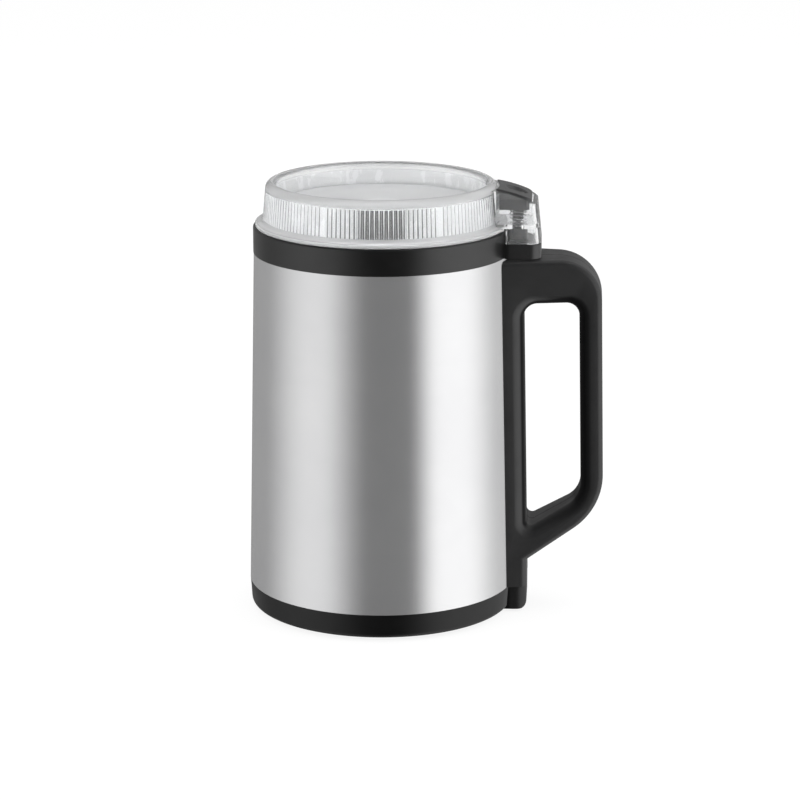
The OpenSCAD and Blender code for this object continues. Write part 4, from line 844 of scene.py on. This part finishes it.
stage = {"floorSize": 9.0, "floorZ": -0.05, "floorGlow": 0.88, "floorTone": 0.20, "bounceTone": 0.8,
         "frontTone": 0.04, "frontFrom": -0.35, "frontTo": -0.15, "fill": 0.50, "bandLevel": 1.3,
         "viewBearing": 3.87, "shadeFrom": 0.10, "shadeTo": 0.40, "shadeTone": 0.18, "aheadY": 0.2,
         "aboveFrom": 0.1, "aboveTo": 0.3, "behindFrom": -0.3, "lidGlow": 7.2, "lampAim": (0, 0, 0.08)}
rig = {  # bearings from the camera between which a tone is even, and its level; edges between tones are eased
    "leftBack": (-180, -126, 0.31),
    "leftBox": (-66, -56, 0.91),
    "gap": (-10, 23, 0.105),
    "rightBox": (52, 76, 1.26),
    "side": (126, 126, 0.62),
    "rightBack": (180, 180, 0.31),
}
lamps = {
    "topBox": {"place": (0.1, 0.1, 1.5), "size": (1.3, 1.3), "power": 7.0},
    "leftBox": {"place": (-1.1, -0.8, 0.9), "size": (0.8, 1.2), "power": 4.0},
    "rightBox": {"place": (1.3, -0.4, 0.8), "size": (0.7, 1.3), "power": 5.0},
}


def math2(tree, operation, first, second):
    node = addNode(tree, "ShaderNodeMath", operation=operation)
    for socket, value in zip(node.inputs, (first, second)):
        if isinstance(value, (int, float)):
            socket.default_value = value
        else:
            tree.links.new(value, socket)
    return node.outputs["Value"]


def makeFloor():  # white to the camera and through the lid, with the object's shadow on it
    half = stage["floorSize"] / 2 / mm
    corners = [(-half, -half), (half, -half), (half, half), (-half, half)]
    floor = meshObject("floor", upright(corners, stage["floorZ"]), [[0, 1, 2, 3]])
    material = bpy.data.materials.new("paleFloor")
    material.use_nodes = True
    tree = material.node_tree
    tree.nodes.remove(tree.nodes["Principled BSDF"])
    path = addNode(tree, "ShaderNodeLightPath")
    place = addNode(tree, "ShaderNodeTexCoord")
    split = addNode(tree, "ShaderNodeSeparateXYZ")
    tree.links.new(place.outputs["Object"], split.inputs["Vector"])
    isCamera = path.outputs["Is Camera Ray"]
    pale = mapped(tree, split.outputs["Y"], stage["frontFrom"], stage["frontTo"])
    pale = math2(tree, "MAXIMUM", pale, isCamera)
    level = mapped(tree, pale, 0.0, 1.0, stage["frontTone"], stage["floorGlow"])
    direct = math2(tree, "MAXIMUM", isCamera, path.outputs["Is Transmission Ray"])
    bounce = addNode(tree, "ShaderNodeBsdfDiffuse", Color=(*[stage["bounceTone"]] * 3, 1.0))
    matt = addNode(tree, "ShaderNodeBsdfDiffuse")
    glow = addNode(tree, "ShaderNodeEmission")
    shown = addNode(tree, "ShaderNodeAddShader")
    blend = addNode(tree, "ShaderNodeMixShader")
    link = tree.links.new
    link(math2(tree, "MULTIPLY", pale, stage["floorTone"]), matt.inputs["Color"])
    link(level, glow.inputs["Strength"])
    link(matt.outputs["BSDF"], shown.inputs[0])
    link(glow.outputs["Emission"], shown.inputs[1])
    link(direct, blend.inputs["Fac"])
    link(bounce.outputs["BSDF"], blend.inputs[1])
    link(shown.outputs["Shader"], blend.inputs[2])
    link(blend.outputs["Shader"], tree.nodes["Material Output"].inputs["Surface"])
    floor.data.materials.append(material)
    floor.visible_glossy = False  # the steel shows the studio bands there, as in the photograph


def mixed(tree, factor, first, second):
    node = addNode(tree, "ShaderNodeMix", data_type="RGBA")
    tree.links.new(factor, node.inputs["Factor"])
    for label, value in (("A", first), ("B", second)):
        if isinstance(value, float):
            node.inputs[label].default_value = (value, value, value, 1.0)
        else:
            tree.links.new(value, node.inputs[label])
    return node.outputs["Result"]


def makeSurround():  # white behind the object, two softboxes and a dark gap between them round the camera
    world = bpy.data.worlds.new("studio")
    scene.world = world
    world.use_nodes = True
    tree = world.node_tree
    path = addNode(tree, "ShaderNodeLightPath")
    place = addNode(tree, "ShaderNodeTexCoord")
    split = addNode(tree, "ShaderNodeSeparateXYZ")
    tree.links.new(place.outputs["Generated"], split.inputs["Vector"])
    x, y, z = split.outputs["X"], split.outputs["Y"], split.outputs["Z"]
    bearing = math2(tree, "ARCTAN2", x, math2(tree, "MULTIPLY", y, -1.0))
    ramp = addNode(tree, "ShaderNodeValToRGB")
    ramp.color_ramp.interpolation = "EASE"
    tree.links.new(mapped(tree, bearing, -math.pi, math.pi), ramp.inputs["Fac"])
    stops = ramp.color_ramp.elements
    stops.remove(stops[-1])
    tones = [(angle, level) for first, last, level in rig.values() for angle in sorted({first, last})]
    for i, (angle, level) in enumerate(tones):
        position = min(max((angle + stage["viewBearing"] + 180) / 360, 0.0), 1.0)
        stop = stops[0] if i == 0 else stops.new(position)
        stop.position = position
        tone = level / stage["bandLevel"]
        stop.color = (tone, tone, tone, 1.0)
    overhead = mapped(tree, z, stage["shadeFrom"], stage["shadeTo"], 0.0, 1.0 - stage["shadeTone"])
    ahead = mapped(tree, y, stage["aheadY"], -stage["aheadY"])
    level = math2(tree, "SUBTRACT", 1.0, math2(tree, "MULTIPLY", overhead, ahead))
    level = math2(tree, "MULTIPLY", level, stage["bandLevel"])
    lift = addNode(tree, "ShaderNodeVectorMath", operation="SCALE")
    tree.links.new(ramp.outputs["Color"], lift.inputs["Vector"])
    tree.links.new(level, lift.inputs["Scale"])
    above = mapped(tree, z, stage["aboveFrom"], stage["aboveTo"])
    through = math2(tree, "MAXIMUM", mapped(tree, y, stage["behindFrom"], 0.0), above)
    behind = math2(tree, "MULTIPLY", path.outputs["Is Transmission Ray"], through)
    direct = math2(tree, "MAXIMUM", path.outputs["Is Camera Ray"], behind)
    shiny = math2(tree, "MAXIMUM", path.outputs["Is Glossy Ray"], path.outputs["Is Transmission Ray"])
    straight = mapped(tree, path.outputs["Glossy Depth"], 0.0, 1.0, stage["lidGlow"], 0.0)
    white = math2(tree, "ADD", 1.0, math2(tree, "MULTIPLY", above, straight))
    colour = mixed(tree, direct, mixed(tree, shiny, stage["fill"], lift.outputs["Vector"]), white)
    tree.links.new(colour, tree.nodes["Background"].inputs["Color"])


def softbox(name, place, size, power):
    light = bpy.data.lights.new(name, "AREA")
    light.shape = "RECTANGLE"
    light.size, light.size_y = size
    light.energy = power
    lamp = bpy.data.objects.new(name, light)
    scene.collection.objects.link(lamp)
    lamp.visible_glossy = False  # reflections come from the surround alone
    lamp.location = place
    lamp.rotation_euler = (Vector(stage["lampAim"]) - Vector(place)).to_track_quat("-Z", "Y").to_euler()


makeFloor()
makeSurround()
for name, settings in lamps.items():
    softbox(name, **settings)

view = {"place": (71.73, -1060.23, 357.13), "aim": (6.86, 0.42, 78.64), "lens": 131.63}
lens = bpy.data.cameras.new("camera")
lens.lens = view["lens"]
lens.sensor_width = 36.0
camera = bpy.data.objects.new("camera", lens)
scene.collection.objects.link(camera)
camera.location = Vector(view["place"]) * mm
camera.rotation_euler = (Vector(view["aim"]) - Vector(view["place"])).to_track_quat("-Z", "Y").to_euler()
scene.camera = camera
print("stage and camera set")
